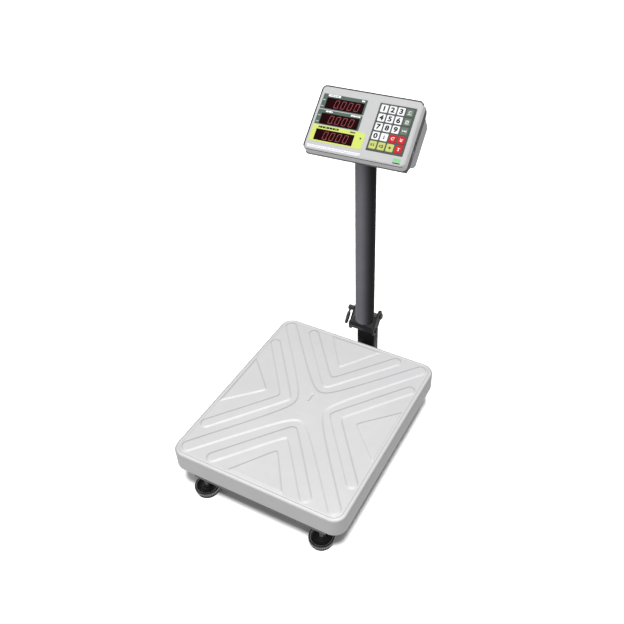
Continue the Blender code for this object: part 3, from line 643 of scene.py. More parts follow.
world = bpy.data.worlds.new("studio")
scene.world = world
world.use_nodes = True
wn = world.node_tree
bg = wn.nodes["Background"]
tcw = wn.nodes.new("ShaderNodeTexCoord")
dotw = wn.nodes.new("ShaderNodeVectorMath")
dotw.operation = "DOT_PRODUCT"
dotw.inputs[1].default_value = Vector((0.04, -0.03, 1.0)).normalized()
rampw = wn.nodes.new("ShaderNodeValToRGB")
mapw = wn.nodes.new("ShaderNodeMapRange")
mapw.inputs["From Min"].default_value = -1.0
mapw.inputs["From Max"].default_value = 1.0
wn.links.new(tcw.outputs["Generated"], dotw.inputs[0])
wn.links.new(dotw.outputs["Value"], mapw.inputs["Value"])
wn.links.new(mapw.outputs["Result"], rampw.inputs["Fac"])
# below the horizon: the studio floor as the scale sees it, darker to the right
lowdir = wn.nodes.new("ShaderNodeVectorMath")
lowdir.operation = "DOT_PRODUCT"
lowdir.inputs[1].default_value = Vector((-0.6, -0.6, -0.5)).normalized()
lowmap = wn.nodes.new("ShaderNodeMapRange")
for key, v in (("From Min", -1.0), ("From Max", 1.0), ("To Min", 0.28), ("To Max", 0.52)):
    lowmap.inputs[key].default_value = v
sepw = wn.nodes.new("ShaderNodeSeparateXYZ")
under = wn.nodes.new("ShaderNodeMapRange")
for key, v in (("From Min", 0.06), ("From Max", -0.12)):
    under.inputs[key].default_value = v
blend = wn.nodes.new("ShaderNodeMix")
blend.data_type = "RGBA"
wn.links.new(tcw.outputs["Generated"], lowdir.inputs[0])
wn.links.new(lowdir.outputs["Value"], lowmap.inputs["Value"])
wn.links.new(tcw.outputs["Generated"], sepw.inputs["Vector"])
wn.links.new(sepw.outputs["Z"], under.inputs["Value"])
wn.links.new(under.outputs["Result"], blend.inputs[0])
wn.links.new(rampw.outputs["Color"], blend.inputs[6])
wn.links.new(lowmap.outputs["Result"], blend.inputs[7])
wn.links.new(blend.outputs[2], bg.inputs["Color"])
for pos, level in ((0.40, 0.16), (0.50, 0.28), (0.62, 0.52), (0.75, 0.74), (0.85, 0.81),
                   (0.985, 0.90)):
    e = rampw.color_ramp.elements.new(pos)
    e.color = (level, level, level * 1.01, 1)
rampw.color_ramp.elements.remove(rampw.color_ramp.elements[0])
rampw.color_ramp.elements.remove(rampw.color_ramp.elements[-1])
bg.inputs["Strength"].default_value = 1.9
scene.view_settings.view_transform = "Standard"

# ------------------------------------------------------------------ platter
GRID = 1.3


def rib_field(x, y):
    """Height of the embossing above the flat platter, by distance to the spines
    of the ribs: an X through the centre, a V towards each side, and a
    triangular field inside each V."""
    ang = math.radians(51.0)
    c, s, t = math.cos(ang), math.sin(ang), math.tan(ang)

    def soft(u, k):
        """Absolute value with its corner rounded off."""
        return np.sqrt(u * u + k * k)

    def seg(ax, ay, px, py, qx, qy):
        dx, dy = qx - px, qy - py
        k = np.clip(((ax - px) * dx + (ay - py) * dy) / (dx * dx + dy * dy), 0, 1)
        return np.hypot(ax - px - k * dx, ay - py - k * dy)

    def lift(d, half, edge=4.4):
        k = np.clip((half - d) / edge + 0.0, 0, 1)
        return k * k * (3 - 2 * k)
    # arms of the X, blending into each other in wide curves round the middle
    ex = 215.5 / t
    d_x = np.minimum(seg(soft(x, 24.0), np.abs(y), 0.0, 0.0, ex + 3.0, 215.5),
                     seg(np.abs(x), soft(y, 26.0), 0.0, 0.0, ex + 3.0, 215.5))
    d_x = np.minimum(d_x, np.maximum(np.hypot(x, y) - 17.0, 0.0))
    # V towards the front and back: apex on the y axis
    a1 = 49.5 / c
    d_v = seg(soft(x, 5.0), np.abs(y), 0.0, a1, (215.8 - a1) / t + 1.0, 215.8)
    # V towards the sides: apex on the x axis
    a2 = 48.5 / s
    d_h = seg(np.abs(x), soft(y, 5.0), a2, 0.0, 179.5, (179.5 - a2) * t)
    h = np.maximum.reduce([lift(d_x, 14.2), lift(d_v, 14.0), lift(d_h, 13.6)])

    def tri(u, w, apex, edge, half):
        """Inside a triangle with its apex at (apex, 0) and base at u = edge."""
        n = math.hypot(edge - apex, half)
        side = (half * (u - apex) - (edge - apex) * soft(w, 3.0)) / n
        base = edge - u
        return np.minimum(side, base)
    for dist in (tri(np.abs(y), x, 135.0, 229.5, 68.0), tri(np.abs(x), y, 112.0, 192.5, 79.0)):
        k = np.clip(dist / 3.6, 0, 1)
        h = np.maximum(h, k * k * (3 - 2 * k))
    # a short pressed slit beside the middle and two small pips
    slit = np.hypot(x + 13.3, np.maximum(np.abs(y - 24.0) - 9.5, 0))
    h = h - 1.0 * np.clip(1.9 - slit / 1.3, 0, 1)
    for px, py in ((-49.0, 3.0), (-13.0, -32.0)):
        h = h - 0.28 * np.clip(1.5 - np.hypot(x - px, y - py) / 1.6, 0, 1)
    return np.maximum(h, 0.0)


def make_pan():
    rim, r_out = 11.5, 30.0
    hx, hy = PAN_HX - rim, PAN_HY - rim
    nx, ny = int(round(2 * hx / GRID)), int(round(2 * hy / GRID))
    xs, ys = np.linspace(-hx, hx, nx + 1), np.linspace(-hy, hy, ny + 1)
    X, Y = np.meshgrid(xs, ys)
    # bend the square corners of the grid onto the platter's round corners
    s = r_out - rim
    dx, dy = np.abs(X) - (hx - s), np.abs(Y) - (hy - s)
    corner = (dx > 0) & (dy > 0)
    big = np.maximum(np.maximum(dx, dy), 1e-9)
    phi = np.where(dx >= dy, (math.pi / 4) * dy / big, math.pi / 2 - (math.pi / 4) * dx / big)
    X = np.where(corner, np.sign(X) * (hx - s + big * np.cos(phi)), X)
    Y = np.where(corner, np.sign(Y) * (hy - s + big * np.sin(phi)), Y)
    Z = TOP + (RIB_H - 0.02) * rib_field(X, Y)
    verts = [np.stack([X, Y, Z], -1).reshape(-1, 3)]
    faces = []
    w = nx + 1
    for j in range(ny):
        for i in range(nx):
            a = j * w + i
            faces.append((a, a + 1, a + 1 + w, a + w))
    # boundary of the grid, counter-clockwise, with its outward directions
    edge = [(i, 0) for i in range(nx)] + [(nx, j) for j in range(ny)] \
        + [(i, ny) for i in range(nx, 0, -1)] + [(0, j) for j in range(ny, 0, -1)]
    loop = [j * w + i for i, j in edge]
    bx = np.array([X[j, i] for i, j in edge])
    by = np.array([Y[j, i] for i, j in edge])
    ox = np.maximum(np.abs(bx) - (hx - s), 0) * np.sign(bx)
    oy = np.maximum(np.abs(by) - (hy - s), 0) * np.sign(by)
    length = np.hypot(ox, oy)
    ox, oy = ox / length, oy / length
    fil = 6.0
    sec = [(11.0, TOP - 0.05), (10.4, TOP - 0.4), (9.8, TOP - 0.65), (9.2, TOP - 0.55),
           (8.6, TOP - 0.1), (8.0, TOP + 0.25), (7.3, TOP + 0.35), (6.6, TOP + 0.2)]
    for k in range(9):
        a = math.pi / 2 * k / 8
        sec.append((fil * (1 - math.sin(a)), TOP - fil * (1 - math.cos(a))))
    for z in (TOP - 18.0, TOP - 32.0, BOTTOM + 1.4):
        sec.append((0.0, z))
    sec += [(0.15, BOTTOM + 0.6), (0.55, BOTTOM + 0.1), (1.0, BOTTOM), (1.4, BOTTOM + 0.3)]
    t = 1.5
    for z in (BOTTOM + 1.5, TOP - 18.0, TOP - 8.0):
        sec.append((t, z))
    for k in (7, 5, 3, 1):
        a = math.pi / 2 * k / 8
        sec.append((t + 4.5 * (1 - math.sin(a)), TOP - 0.9 - t - 4.5 * (1 - math.cos(a))))
    count = (nx + 1) * (ny + 1)
    prev = loop
    for inset, z in sec:
        pts = np.stack([bx + ox * (rim - inset), by + oy * (rim - inset),
                        np.full(len(bx), z)], -1)
        ids = list(range(count, count + len(pts)))
        count += len(pts)
        verts.append(pts)
        m = len(ids)
        for i in range(m):
            j = (i + 1) % m
            faces.append((prev[i], ids[i], ids[j], prev[j]))
        prev = ids
    # underside: the same grid, one sheet thickness lower
    base = count
    verts.append(np.stack([X, Y, Z - t], -1).reshape(-1, 3))
    for j in range(ny):
        for i in range(nx):
            a = base + j * w + i
            faces.append((a, a + w, a + 1 + w, a + 1))
    low = [base + k for k in loop]
    m = len(low)
    for i in range(m):
        j = (i + 1) % m
        faces.append((prev[i], low[i], low[j], prev[j]))
    me = bpy.data.meshes.new("platter_pan_sheet")
    v = np.concatenate(verts) * MM
    me.from_pydata(v.tolist(), [], faces)
    me.transform(PLAT)
    me.materials.append(SHEET_STEEL)
    bm = new_bm()
    bm.from_mesh(me)
    bmesh.ops.recalc_face_normals(bm, faces=bm.faces)
    bm.to_mesh(me)
    bm.free()
    me.shade_smooth()
    me.set_sharp_from_angle(angle=math.radians(50))
    piece("platter_pan_sheet", None, None, "pan", ("platter_pan",), "stainless", mesh=me)


make_pan()

for n in ("base_frame", "load_frame"):
    keep(n, PAINT_FRAME)
keep("load_cell", ALU)
keep("cell_spacer_lower", STEEL)
keep("cell_spacer_upper", STEEL)
for n in NODES:
    if n.startswith("pan_buffer_"):
        keep(n, RUBBER)
keep("key_board", BOARD)
keep("display_board", BOARD)
keep("battery", BATTERY)

# -------------------------------------------------------------------- feet
FOOT_X, FOOT_Y = 144.0, 215.0


def foot_profile():
    z0, z1 = 5.0, 19.5
    pts = [(0, z0), (20.5, z0), (22.0, z0 + 0.5), (24.6, z0 + 2.2), (26.6, z0 + 4.0)]
    for k in range(9):
        z = z0 + 5.0 + 7.0 * k / 8
        pts.append((26.8 + 1.2 * math.sin(math.pi * min(1.0, k / 6.0) / 2), z))
    pts += [(27.9, z1 - 1.2), (27.5, z1 - 0.5), (26.8, z1 - 0.1), (26.0, z1), (24.4, z1),
            (23.6, z1 - 0.25), (22.9, z1 - 1.0), (20.6, z1 - 3.9), (19.4, z1 - 4.5),
            (11.0, z1 - 4.5), (10.0, z1 - 4.3), (9.2, z1 - 3.6), (8.9, z1 + 1.6),
            (8.3, z1 + 2.3), (7.6, z1 + 2.5), (5.4, z1 + 2.5), (4.4, z1 + 2.5)]
    return pts


def knurl(a, r, h):
    if r > 25.9 and 6.5 < h < 18.6:
        depth = 1.9 * min(1.0, (h - 6.5) / 2.0, (18.9 - h) / 0.5)
        wave = 0.5 + 0.5 * math.cos(44 * a)
        return r - depth * (1 - wave ** 0.7)
    return r


_wheel = turned(foot_profile() + [(0, 22.0)], 264, shape=knurl)
# the knurl's crests and the dish's lip are pale grey: partly rubbed wear, partly a painted highlight
for f in _wheel.faces:
    c = f.calc_center_median() / MM
    radius = math.hypot(c.x, c.y)
    if (radius > 26.6 and 7.0 < c.z < 18.6) or (23.2 < radius < 24.6 and c.z > 18.0):
        f.material_index = 1
stud_rows = [(0, 21.9), (4.95, 21.9)] + [(5.0, 22.2 + 0.25 * k) for k in range(int(39.6 / 0.25))] \
    + [(4.4, 62.3), (3.9, 62.9), (0, 62.9)]
_stud = turned(stud_rows, 28, shape=thread(4.35, 5.0, 1.5))
for name, sx, sy in (("front_left", -1, -1), ("front_right", 1, -1),
                     ("rear_left", -1, 1), ("rear_right", 1, 1)):
    at = PLAT @ Matrix.Translation(Vector((sx * FOOT_X, sy * FOOT_Y, 0)) * MM)
    w = piece("foot_wheel_%s_knurled" % name, _wheel.copy(), FOOT_PLASTIC, "wheel_" + name,
              ("foot_wheel_" + name,), "foot_black", matrix=at, smooth=50,
              materials=[FOOT_PLASTIC, FOOT_WORN_AND_HIGHLIGHT])
    piece("foot_stud_" + name, _stud.copy(), DARK_STEEL, "wheel_" + name, (), "zinc", matrix=at,
          smooth=60)
    sole = turned([(0, 0.0), (20.0, 0.0), (20.0, 0.6), (21.4, 0.6), (21.4, 0.0), (22.8, 0.0),
                   (23.6, 0.35), (24.0, 1.1), (24.0, 3.9), (23.7, 4.5), (23.0, 4.7), (0, 4.7)], 96)
    piece("foot_sole_%s_rubber" % name, sole, RUBBER, "sole_" + name, ("foot_sole_" + name,),
          "rubber", matrix=at, smooth=50)
_wheel.free()
_stud.free()

# ------------------------------------------------------------- post and hinge
HD = Vector((CLAMP[0] - PIVOT[0], CLAMP[1] - PIVOT[1])).normalized()
HN = Vector((HD.y, -HD.x))


def hinge_pt(along, out, base=PIVOT):
    return (base[0] + HD.x * along + HN.x * out, base[1] + HD.y * along + HN.y * out)


def make_post():
    x, y0, y1 = 23.8, 279.0, 304.0
    slope = HD.y / HD.x
    a = hinge_pt(0, CHEEK_R + 0.3)
    z_max = TOP + 48.0
    cx, cy = 0.0, (y0 + y1) / 2

    def top(y):
        return min(z_max, a[1] + (y - a[0]) * slope)
    bm = new_bm()
    outer = rounded_rect(2 * x, y1 - y0, 3.2, 8, cx, cy)
    inner = rounded_rect(2 * x - 4.0, y1 - y0 - 4.0, 1.4, 8, cx, cy)
    lo_o = [bm.verts.new(Vector((px, py, 63.3)) * MM) for px, py in outer]
    hi_o = [bm.verts.new(Vector((px, py, top(py))) * MM) for px, py in outer]
    lo_i = [bm.verts.new(Vector((px, py, 63.3)) * MM) for px, py in inner]
    hi_i = [bm.verts.new(Vector((px, py, top(py))) * MM) for px, py in inner]
    quad_strip(bm, lo_o, hi_o)
    quad_strip(bm, hi_o, hi_i)
    quad_strip(bm, hi_i, lo_i)
    quad_strip(bm, lo_i, lo_o)
    bmesh.ops.recalc_face_normals(bm, faces=bm.faces)
    piece("post_tube", bm, PAINT_BLACK, "platform", ("post",), "black_paint", bevel=0.35,
          bevel_angle=40)
    # fillet weld where the post stands on the base frame's tongue
    bm = new_bm()
    path = rounded_rect(2 * x + 0.2, y1 - y0 + 0.2, 3.4, 6, cx, cy)
    n, rings = len(path), []
    dense = []
    for i in range(n):
        p, q = path[i], path[(i + 1) % n]
        m = max(1, int(math.hypot(q[0] - p[0], q[1] - p[1]) / 1.6))
        dense += [(p[0] + (q[0] - p[0]) * k / m, p[1] + (q[1] - p[1]) * k / m) for k in range(m)]
    n = len(dense)
    for i, (px, py) in enumerate(dense):
        qx, qy = dense[(i + 1) % n]
        ox, oy = dense[i - 1]
        tx, ty = qx - ox, qy - oy
        L = math.hypot(tx, ty)
        nx, ny = ty / L, -tx / L
        s = 2.6 + 0.28 * math.sin(i * 1.7)
        sec = [(0.05, 0.05), (s, 0.05), (s * 0.86, s * 0.45), (s * 0.5, s * 0.86), (0.05, s)]
        rings.append([bm.verts.new(Vector((px + nx * o, py + ny * o, 63.05 + z)) * MM) for o, z in sec])
    for i in range(n):
        quad_strip(bm, rings[i], rings[(i + 1) % n])
    bmesh.ops.recalc_face_normals(bm, faces=bm.faces)
    piece("post_weld", bm, PAINT_BLACK, "platform", (), "black_paint", smooth=60)


make_post()


def make_bracket():
    out = capsule(PIVOT, CLAMP, CHEEK_R)
    web = [hinge_pt(-1, 11.0), hinge_pt(-1, 13.8), hinge_pt(35, 13.8), hinge_pt(35, 11.0)]
    hole_a = moved(turned([(0, -50), (4.2, -50), (4.2, 50), (0, 50)], 48, "x"), 0, *PIVOT)
    hole_b = moved(turned([(0, -50), (5.3, -50), (5.3, 50), (0, 50)], 48, "x"), 0, *CLAMP)
    bm = combine(prism(out, "x", CHEEK_IN, CHEEK_OUT),
                 ("UNION", prism(out, "x", -CHEEK_OUT, -CHEEK_IN)),
                 ("UNION", prism(web, "x", -CHEEK_IN - 1.5, CHEEK_IN + 1.5)),
                 ("DIFFERENCE", hole_a), ("DIFFERENCE", hole_b))
    piece("hinge_bracket_plate", bm, PAINT_BLACK, "platform", ("hinge_bracket",), "black_paint",
          bevel=0.7, bevel_segments=3)
    # weld along the web's foot on the post
    for s in (1, -1):
        pts = []
        for k in range(28):
            t = k / 27
            p = hinge_pt(3.0 + 24.0 * t, CHEEK_R - 0.1)
            pts.append(Vector((s * (23.9 + 0.2 * math.sin(k * 1.9)), p[0], p[1])))
        bm = new_bm()
        rings = []
        for i, p in enumerate(pts):
            r = (1.9 + 0.2 * math.sin(i * 2.3)) * (0.55 if i in (0, 27) else 1.0)
            ring = []
            for j in range(8):
                a = 2 * math.pi * j / 8
                off = Vector((r * math.cos(a) * s, HN.x * r * math.sin(a), HN.y * r * math.sin(a)))
                ring.append(bm.verts.new((p + off) * MM))
            rings.append(ring)
        for a, b in zip(rings, rings[1:]):
            quad_strip(bm, a, b)
        bm.faces.new(rings[0])
        bm.faces.new(rings[-1])
        bmesh.ops.recalc_face_normals(bm, faces=bm.faces)
        piece("bracket_weld_" + ("right" if s > 0 else "left"), bm, PAINT_BLACK, "platform", (),
              "black_paint", smooth=60)


make_bracket()

pin = [(0, -38.0), (4.6, -38.0), (6.2, -37.6), (7.1, -36.8), (7.5, -35.6), (7.5, -33.4),
       (4.0, -33.4), (4.0, 33.4), (7.5, 33.4), (7.5, 35.6), (7.1, 36.8), (6.2, 37.6),
       (4.6, 38.0), (0, 38.0)]
piece("hinge_pin_riveted", moved(turned(pin, 48, "x"), 0, *PIVOT), PAINT_BLACK, "platform",
      ("hinge_pin",), "zinc", smooth=40)


def make_knuckle():
    r = 10.5
    start = math.atan2(HN.y, HN.x)
    pts = []
    for k in range(25):
        a = start - (start + math.pi) * k / 24
        pts.append((PIVOT[0] + r * math.cos(a), PIVOT[1] + r * math.sin(a)))
    pts += [(252.6, PIVOT[1] + 5.0), (252.6, TOP + 46.0), (285.5, TOP + 46.0), hinge_pt(22.0, r)]
    bm = combine(prism(pts, "x", -CHEEK_IN + 0.4, CHEEK_IN - 0.4),
                 ("DIFFERENCE", moved(turned([(0, -60), (4.3, -60), (4.3, 60), (0, 60)], 48, "x"),
                                      0, *PIVOT)))
    piece("column_knuckle_block", bm, PAINT_BLACK, "column", ("column_knuckle",), "black_paint",
          bevel=1.2, bevel_segments=3)
    # weld bead between tube and block, in front of the clamp screw's notch
    bm = new_bm()
    rings = []
    n = 64
    for i in range(n + 1):
        a = math.radians(160.0 + 220.0 * i / n)
        r0 = (1.5 + 0.18 * math.sin(i * 2.1)) * (0.4 if i in (0, n) else 1.0)
        c = Vector((math.cos(a) * 22.0, COLUMN_Y + math.sin(a) * 22.0, TOP + 46.6))
        ring = []
        for j in range(8):
            b = 2 * math.pi * j / 8
            ring.append(bm.verts.new((c + Vector((math.cos(a) * r0 * math.cos(b),
                                                  math.sin(a) * r0 * math.cos(b),
                                                  r0 * math.sin(b)))) * MM))
        rings.append(ring)
    for a, b in zip(rings, rings[1:]):
        quad_strip(bm, a, b)
    bm.faces.new(rings[0])
    bm.faces.new(rings[-1])
    bmesh.ops.recalc_face_normals(bm, faces=bm.faces)
    piece("column_weld", bm, PAINT_BLACK, "column", (), "black_paint", smooth=60)


make_knuckle()


def make_tube():
    z0, z1, r, t = TOP + 46.3, TOP + 520.0, COLUMN_R, 1.6
    prof = [(r - t, z0 + 0.2), (r - t + 0.2, z0), (r - 0.3, z0), (r, z0 + 0.3)]
    prof += [(r, z0 + (z1 - z0) * k / 10) for k in range(1, 10)]
    prof += [(r, z1 - 0.3), (r - 0.3, z1), (r - t + 0.2, z1), (r - t, z1 - 0.2)]
    bm = turned(prof, 96)
    moved(bm, 0, COLUMN_Y, 0)
    bm = combine(bm, ("DIFFERENCE", box(-40, 40, 282.0, 320, z0 - 5, TOP + 65.5)))
    piece("column_tube_round", bm, PAINT_TUBE, "column", ("column_tube",), "tube_paint", smooth=40)


make_tube()

rows = [(0, -37.0), (4.4, -37.0)] + [(5.0, -36.8 + 0.25 * k) for k in range(307)] \
    + [(4.5, 40.0), (4.0, 40.5), (0, 40.6)]
piece("clamp_screw_threaded",
      moved(turned(rows, 28, "x", shape=thread(4.3, 5.0, 1.5)), 0, *CLAMP), DARK_STEEL, "clamp",
      ("clamp_screw",), "zinc", smooth=60)


def make_nut():
    hexa = [(8.6 * math.cos(math.radians(60 * k)), 8.6 * math.sin(math.radians(60 * k)))
            for k in range(6)]
    lo, hi = CHEEK_OUT + 0.3, 38.6
    dome = turned([(0, lo), (7.6, lo), (8.7, lo + 0.8), (8.7, hi - 0.8), (7.6, hi), (0, hi)], 72, "x")
    bm = combine(prism(hexa, "x", lo - 1, hi + 1), ("INTERSECT", dome),
                 ("DIFFERENCE", turned([(0, 20), (5.3, 20), (5.3, 60), (0, 60)], 48, "x")))
    moved(bm, 0, *CLAMP)
    piece("clamp_nut_hex", bm, PAINT_BLACK, "platform", ("clamp_nut",), "zinc", bevel=0.3)


make_nut()


def make_lever():
    hub = turned([(0, -51.0), (4.4, -51.0), (5.6, -50.6), (6.2, -49.6), (6.2, -38.5), (5.9, -37.7),
                  (5.2, -37.3), (0, -37.3)], 48, "x")
    down = Vector((0, -HD.x, -HD.y))
    rot = Vector((0, 0, 1)).rotation_difference(down).to_matrix().to_4x4()
    place = Matrix.Translation(Vector((-46.0, 0, 0)) * MM) @ rot
    prof = [(0, 0.5), (3.2, 0.5)] + [(3.2 - 0.6 * math.sin(math.pi * min(1, (z - 1) / 11) / 2), z)
                                     for z in range(2, 13, 2)]
    for k in range(15):
        t = k / 14
        z = 13.0 + 26.0 * t
        prof.append((2.9 + 1.7 * math.sin(math.pi * (0.12 + 0.76 * t)) ** 0.7, z))
    prof += [(3.5, 40.4), (2.6, 41.6), (1.3, 42.3), (0, 42.5)]
    stem = turned(prof, 40)
    stem.transform(place)
    bm = combine(hub, ("UNION", stem))
    moved(bm, 0, *CLAMP)
    piece("clamp_lever_moulded", bm, PLASTIC_BLACK, "clamp", ("clamp_lever",), "black_plastic",
          smooth=50, bevel=0.35, bevel_angle=50)
    # turned-in rings on the grip
    for i, z in enumerate((19.0, 23.5, 28.0, 32.5)):
        t = (z - 13.0) / 26.0
        r = 2.9 + 1.7 * math.sin(math.pi * (0.12 + 0.76 * t)) ** 0.7
        bm = turned([(r - 0.5, z - 0.8), (r + 0.02, z - 0.6), (r + 0.16, z), (r + 0.02, z + 0.6),
                     (r - 0.5, z + 0.8)], 40)
        bm.transform(place)
        moved(bm, 0, *CLAMP)
        piece("clamp_lever_ring_%d" % (i + 1), bm, PLASTIC_BLACK, "clamp", (), "black_plastic",
              smooth=60)


make_lever()

# ------------------------------------------------------------------ the head
# face coordinates: u to the right, v up the slope, h out of the face; the case's
# depth runs the other way, w = -h
SHELL_T = 2.5
WINDOWS = [(-49.3, 32.4), (-49.3, -2.1), (-49.3, -37.6)]
WINDOW_W, WINDOW_H = 84.0, 25.6
KEY_AREA = (22.2, 98.8, -50.9, 52.5)
KEY_COLS = [33.4 + 17.8 * i for i in range(4)]
KEY_ROWS = [41.0 - 19.7 * i for i in range(5)]
KEY_W, KEY_H = 14.8, 16.4
SWITCH, INLET = (-29.5, 29.5), (-6.0, 29.5)


def head_piece(name, bm, material, body="head", replaces=(), slot=None, **kw):
    return piece(name, bm, material, body, replaces, slot, matrix=HEAD, **kw)


def loft(loops, close_first=False, close_last=False):
    """Skin a list of equally long closed loops of (u, v, h)."""
    bm = new_bm()
    rings = [[bm.verts.new(Vector(p) * MM) for p in loop] for loop in loops]
    for a, b in zip(rings, rings[1:]):
        quad_strip(bm, a, b)
    if close_first:
        bm.faces.new(rings[0])
    if close_last:
        bm.faces.new(list(reversed(rings[-1])))
    bmesh.ops.recalc_face_normals(bm, faces=bm.faces)
    return bm


def slab(w, h, r, z0, z1, cu=0.0, cv=0.0, fillet=0.0, steps=10, fillet_steps=5, lower=False):
    """Rounded plate with a rolled upper edge (and lower, if asked)."""
    loops = []

    def at(inset, z):
        pts = rounded_rect(w - 2 * inset, h - 2 * inset, max(r - inset, 0.05), steps, cu, cv)
        loops.append([(x, y, z) for x, y in pts])
    if lower and fillet:
        for k in range(fillet_steps + 1):
            a = math.pi / 2 * k / fillet_steps
            at(fillet * (1 - math.sin(a)), z0 + fillet * (1 - math.cos(a)))
    else:
        at(0.0, z0)
    if fillet:
        for k in range(fillet_steps + 1):
            a = math.pi / 2 * k / fillet_steps
            at(fillet * (1 - math.cos(a)), z1 - fillet * (1 - math.sin(a)))
    else:
        at(0.0, z1)
    return loft(loops, True, True)


def column_rod(r, lo, hi, seg=96):
    """Vertical cylinder on the column axis, drawn in the face's frame."""
    bm = turned([(0, lo - FACE_Z), (r, lo - FACE_Z), (r, hi - FACE_Z), (0, hi - FACE_Z)], seg)
    bm.transform((Matrix.Translation(Vector((0, -19.5, 0)) * MM)
                  @ Matrix.Rotation(HEAD_TILT, 4, "X")).inverted())
    return bm


def make_front_shell():
    t = SHELL_T
    # the rim has a shallow step half-way down, so the side reads as two bands
    body = slab(FACE_U, FACE_V, FACE_R, -FRONT_D, 0.0, fillet=2.6, steps=14, fillet_steps=7)
    ops = [("DIFFERENCE", slab(FACE_U - 2 * t, FACE_V - 2 * t, FACE_R - t, -FRONT_D - 5, -t,
                               steps=14))]
    for cu, cv in WINDOWS:
        ops.append(("DIFFERENCE", slab(WINDOW_W, WINDOW_H, 0.9, -10, 5, cu, cv, steps=4)))
    u0, u1, v0, v1 = KEY_AREA
    ops.append(("DIFFERENCE", slab(u1 - u0, v1 - v0, 1.2, -10, 5, (u0 + u1) / 2, (v0 + v1) / 2,
                                   steps=4)))
    # groove round the side
    outer = slab(FACE_U + 4, FACE_V + 4, FACE_R + 2, -11.6, -10.6, steps=14)
    inner = slab(FACE_U - 0.9, FACE_V - 0.9, FACE_R - 0.45, -13, -9, steps=14)
    ring = combine(outer, ("DIFFERENCE", inner))
    ops.append(("DIFFERENCE", ring))
    bm = combine(body, *ops)
    # painted shade: the rolled edge is darker along the top and the left side
    bm.normal_update()
    for f in bm.faces:
        c, n = f.calc_center_median() / MM, f.normal
        edge = c.z > -3.4 and (abs(c.x) > FACE_U / 2 - 3.4 or abs(c.y) > FACE_V / 2 - 3.4)
        if edge and (((n.y > 0.05 or n.x < -0.05) and c.y > -FACE_V / 2 + 6) or n.y < -0.72):
            f.material_index = 1
    head_piece("front_shell_moulding", bm, CASE_RIM, replaces=("front_shell",), slot="case_light",
               smooth=35, materials=[CASE_RIM, EDGE_SHADE_DARK])


make_front_shell()


def film_sheet(name, outline, z0, z1, cuts, material, **kw):
    bm = new_bm()
    low = [bm.verts.new(Vector((x, y, z0)) * MM) for x, y in outline]
    high = [bm.verts.new(Vector((x, y, z1)) * MM) for x, y in outline]
    bm.faces.new(low)
    bm.faces.new(list(reversed(high)))
    quad_strip(bm, low, high)
    bmesh.ops.recalc_face_normals(bm, faces=bm.faces)
    ops = [("DIFFERENCE", slab(w, h, r, -3, 5, cu, cv, steps=5)) for w, h, r, cu, cv in cuts]
    if ops:
        bm = combine(bm, *ops)
    return head_piece(name, bm, material, smooth=30, **kw)


u0, u1, v0, v1 = KEY_AREA
win_cuts = [(WINDOW_W + 0.4, WINDOW_H + 0.4, 1.1, cu, cv) for cu, cv in WINDOWS]
key_cut = (u1 - u0 - 0.6, v1 - v0 - 0.6, 1.0, (u0 + u1) / 2, (v0 + v1) / 2)
# light grey face label, leaving the moulding's rim showing all round, with painted shade on its top and
# left parts
film_sheet("face_label", rounded_rect(FACE_U - 5.2, FACE_V - 5.2, 7.4, 12), 0.02, 0.26,
           win_cuts + [(u1 - u0 + 1.0, v1 - v0 + 1.0, 1.4, (u0 + u1) / 2, (v0 + v1) / 2)],
           FACE_FILM, slot="case_light")

# painted shade: dark line just inside the edge, along the top and the left
outer = rounded_rect(FACE_U - 5.2, FACE_V - 5.2, 7.4, 12)
inner = [(x * (FACE_U - 6.6) / (FACE_U - 5.2) + 0.66, y * (FACE_V - 6.6) / (FACE_V - 5.2) - 0.66)
         for x, y in outer]
line = new_bm()
loops = [[line.verts.new(Vector((x, y, z)) * MM) for x, y in pts]
         for pts, z in ((outer, 0.20), (outer, 0.31), (inner, 0.31), (inner, 0.20))]
for k in range(4):
    quad_strip(line, loops[k], loops[(k + 1) % 4])
bmesh.ops.recalc_face_normals(line, faces=line.faces)
head_piece("face_edge_line", line, EDGE_SHADE_DARK, smooth=30)

# three printed fields round the windows
panes = [(81.6, 24.0, 0.8, -49.0, 32.2), (82.0, 24.4, 0.8, -49.3, -2.1),
         (82.6, 24.2, 0.8, -49.5, -37.6)]


def field(u0, u1, v0, v1, r, right_only=False):
    pts = []
    for sx, sy, a0 in ((1, -1, -90), (1, 1, 0), (-1, 1, 90), (-1, -1, 180)):
        rr = 0.6 if right_only and sx < 0 else r
        for k in range(9):
            a = math.radians(a0 + 90 * k / 8)
            cx = (u1 - rr) if sx > 0 else (u0 + rr)
            cy = (v1 - rr) if sy > 0 else (v0 + rr)
            pts.append((cx + rr * math.cos(a), cy + rr * math.sin(a)))
    return pts


film_sheet("field_upper", field(-99.2, -4.6, 18.4, 52.0, 1.0), 0.30, 0.52, panes[:1], PANEL_FILM,
           replaces=("display_overlay",), slot="film")
film_sheet("field_middle", field(-99.8, -4.6, -15.4, 16.6, 1.0), 0.30, 0.52, panes[1:2],
           PANEL_FILM, slot="film")
film_sheet("field_lower", field(-100.2, 13.0, -52.8, -17.0, 5.0, True), 0.30, 0.52, panes[2:],
           TOTAL_FILM, slot="film")


def flat_shape(name, outline, z0, z1, material, body="head", parent_matrix=None, **kw):
    bm = new_bm()
    low = [bm.verts.new(Vector((x, y, z0)) * MM) for x, y in outline]
    high = [bm.verts.new(Vector((x, y, z1)) * MM) for x, y in outline]
    bm.faces.new(low)
    bm.faces.new(list(reversed(high)))
    quad_strip(bm, low, high)
    bmesh.ops.recalc_face_normals(bm, faces=bm.faces)
    return bm


def join(bms):
    out = new_bm()
    for b in bms:
        me = to_mesh(b, "join")
        out.from_mesh(me)
        bpy.data.meshes.remove(me)
    return out


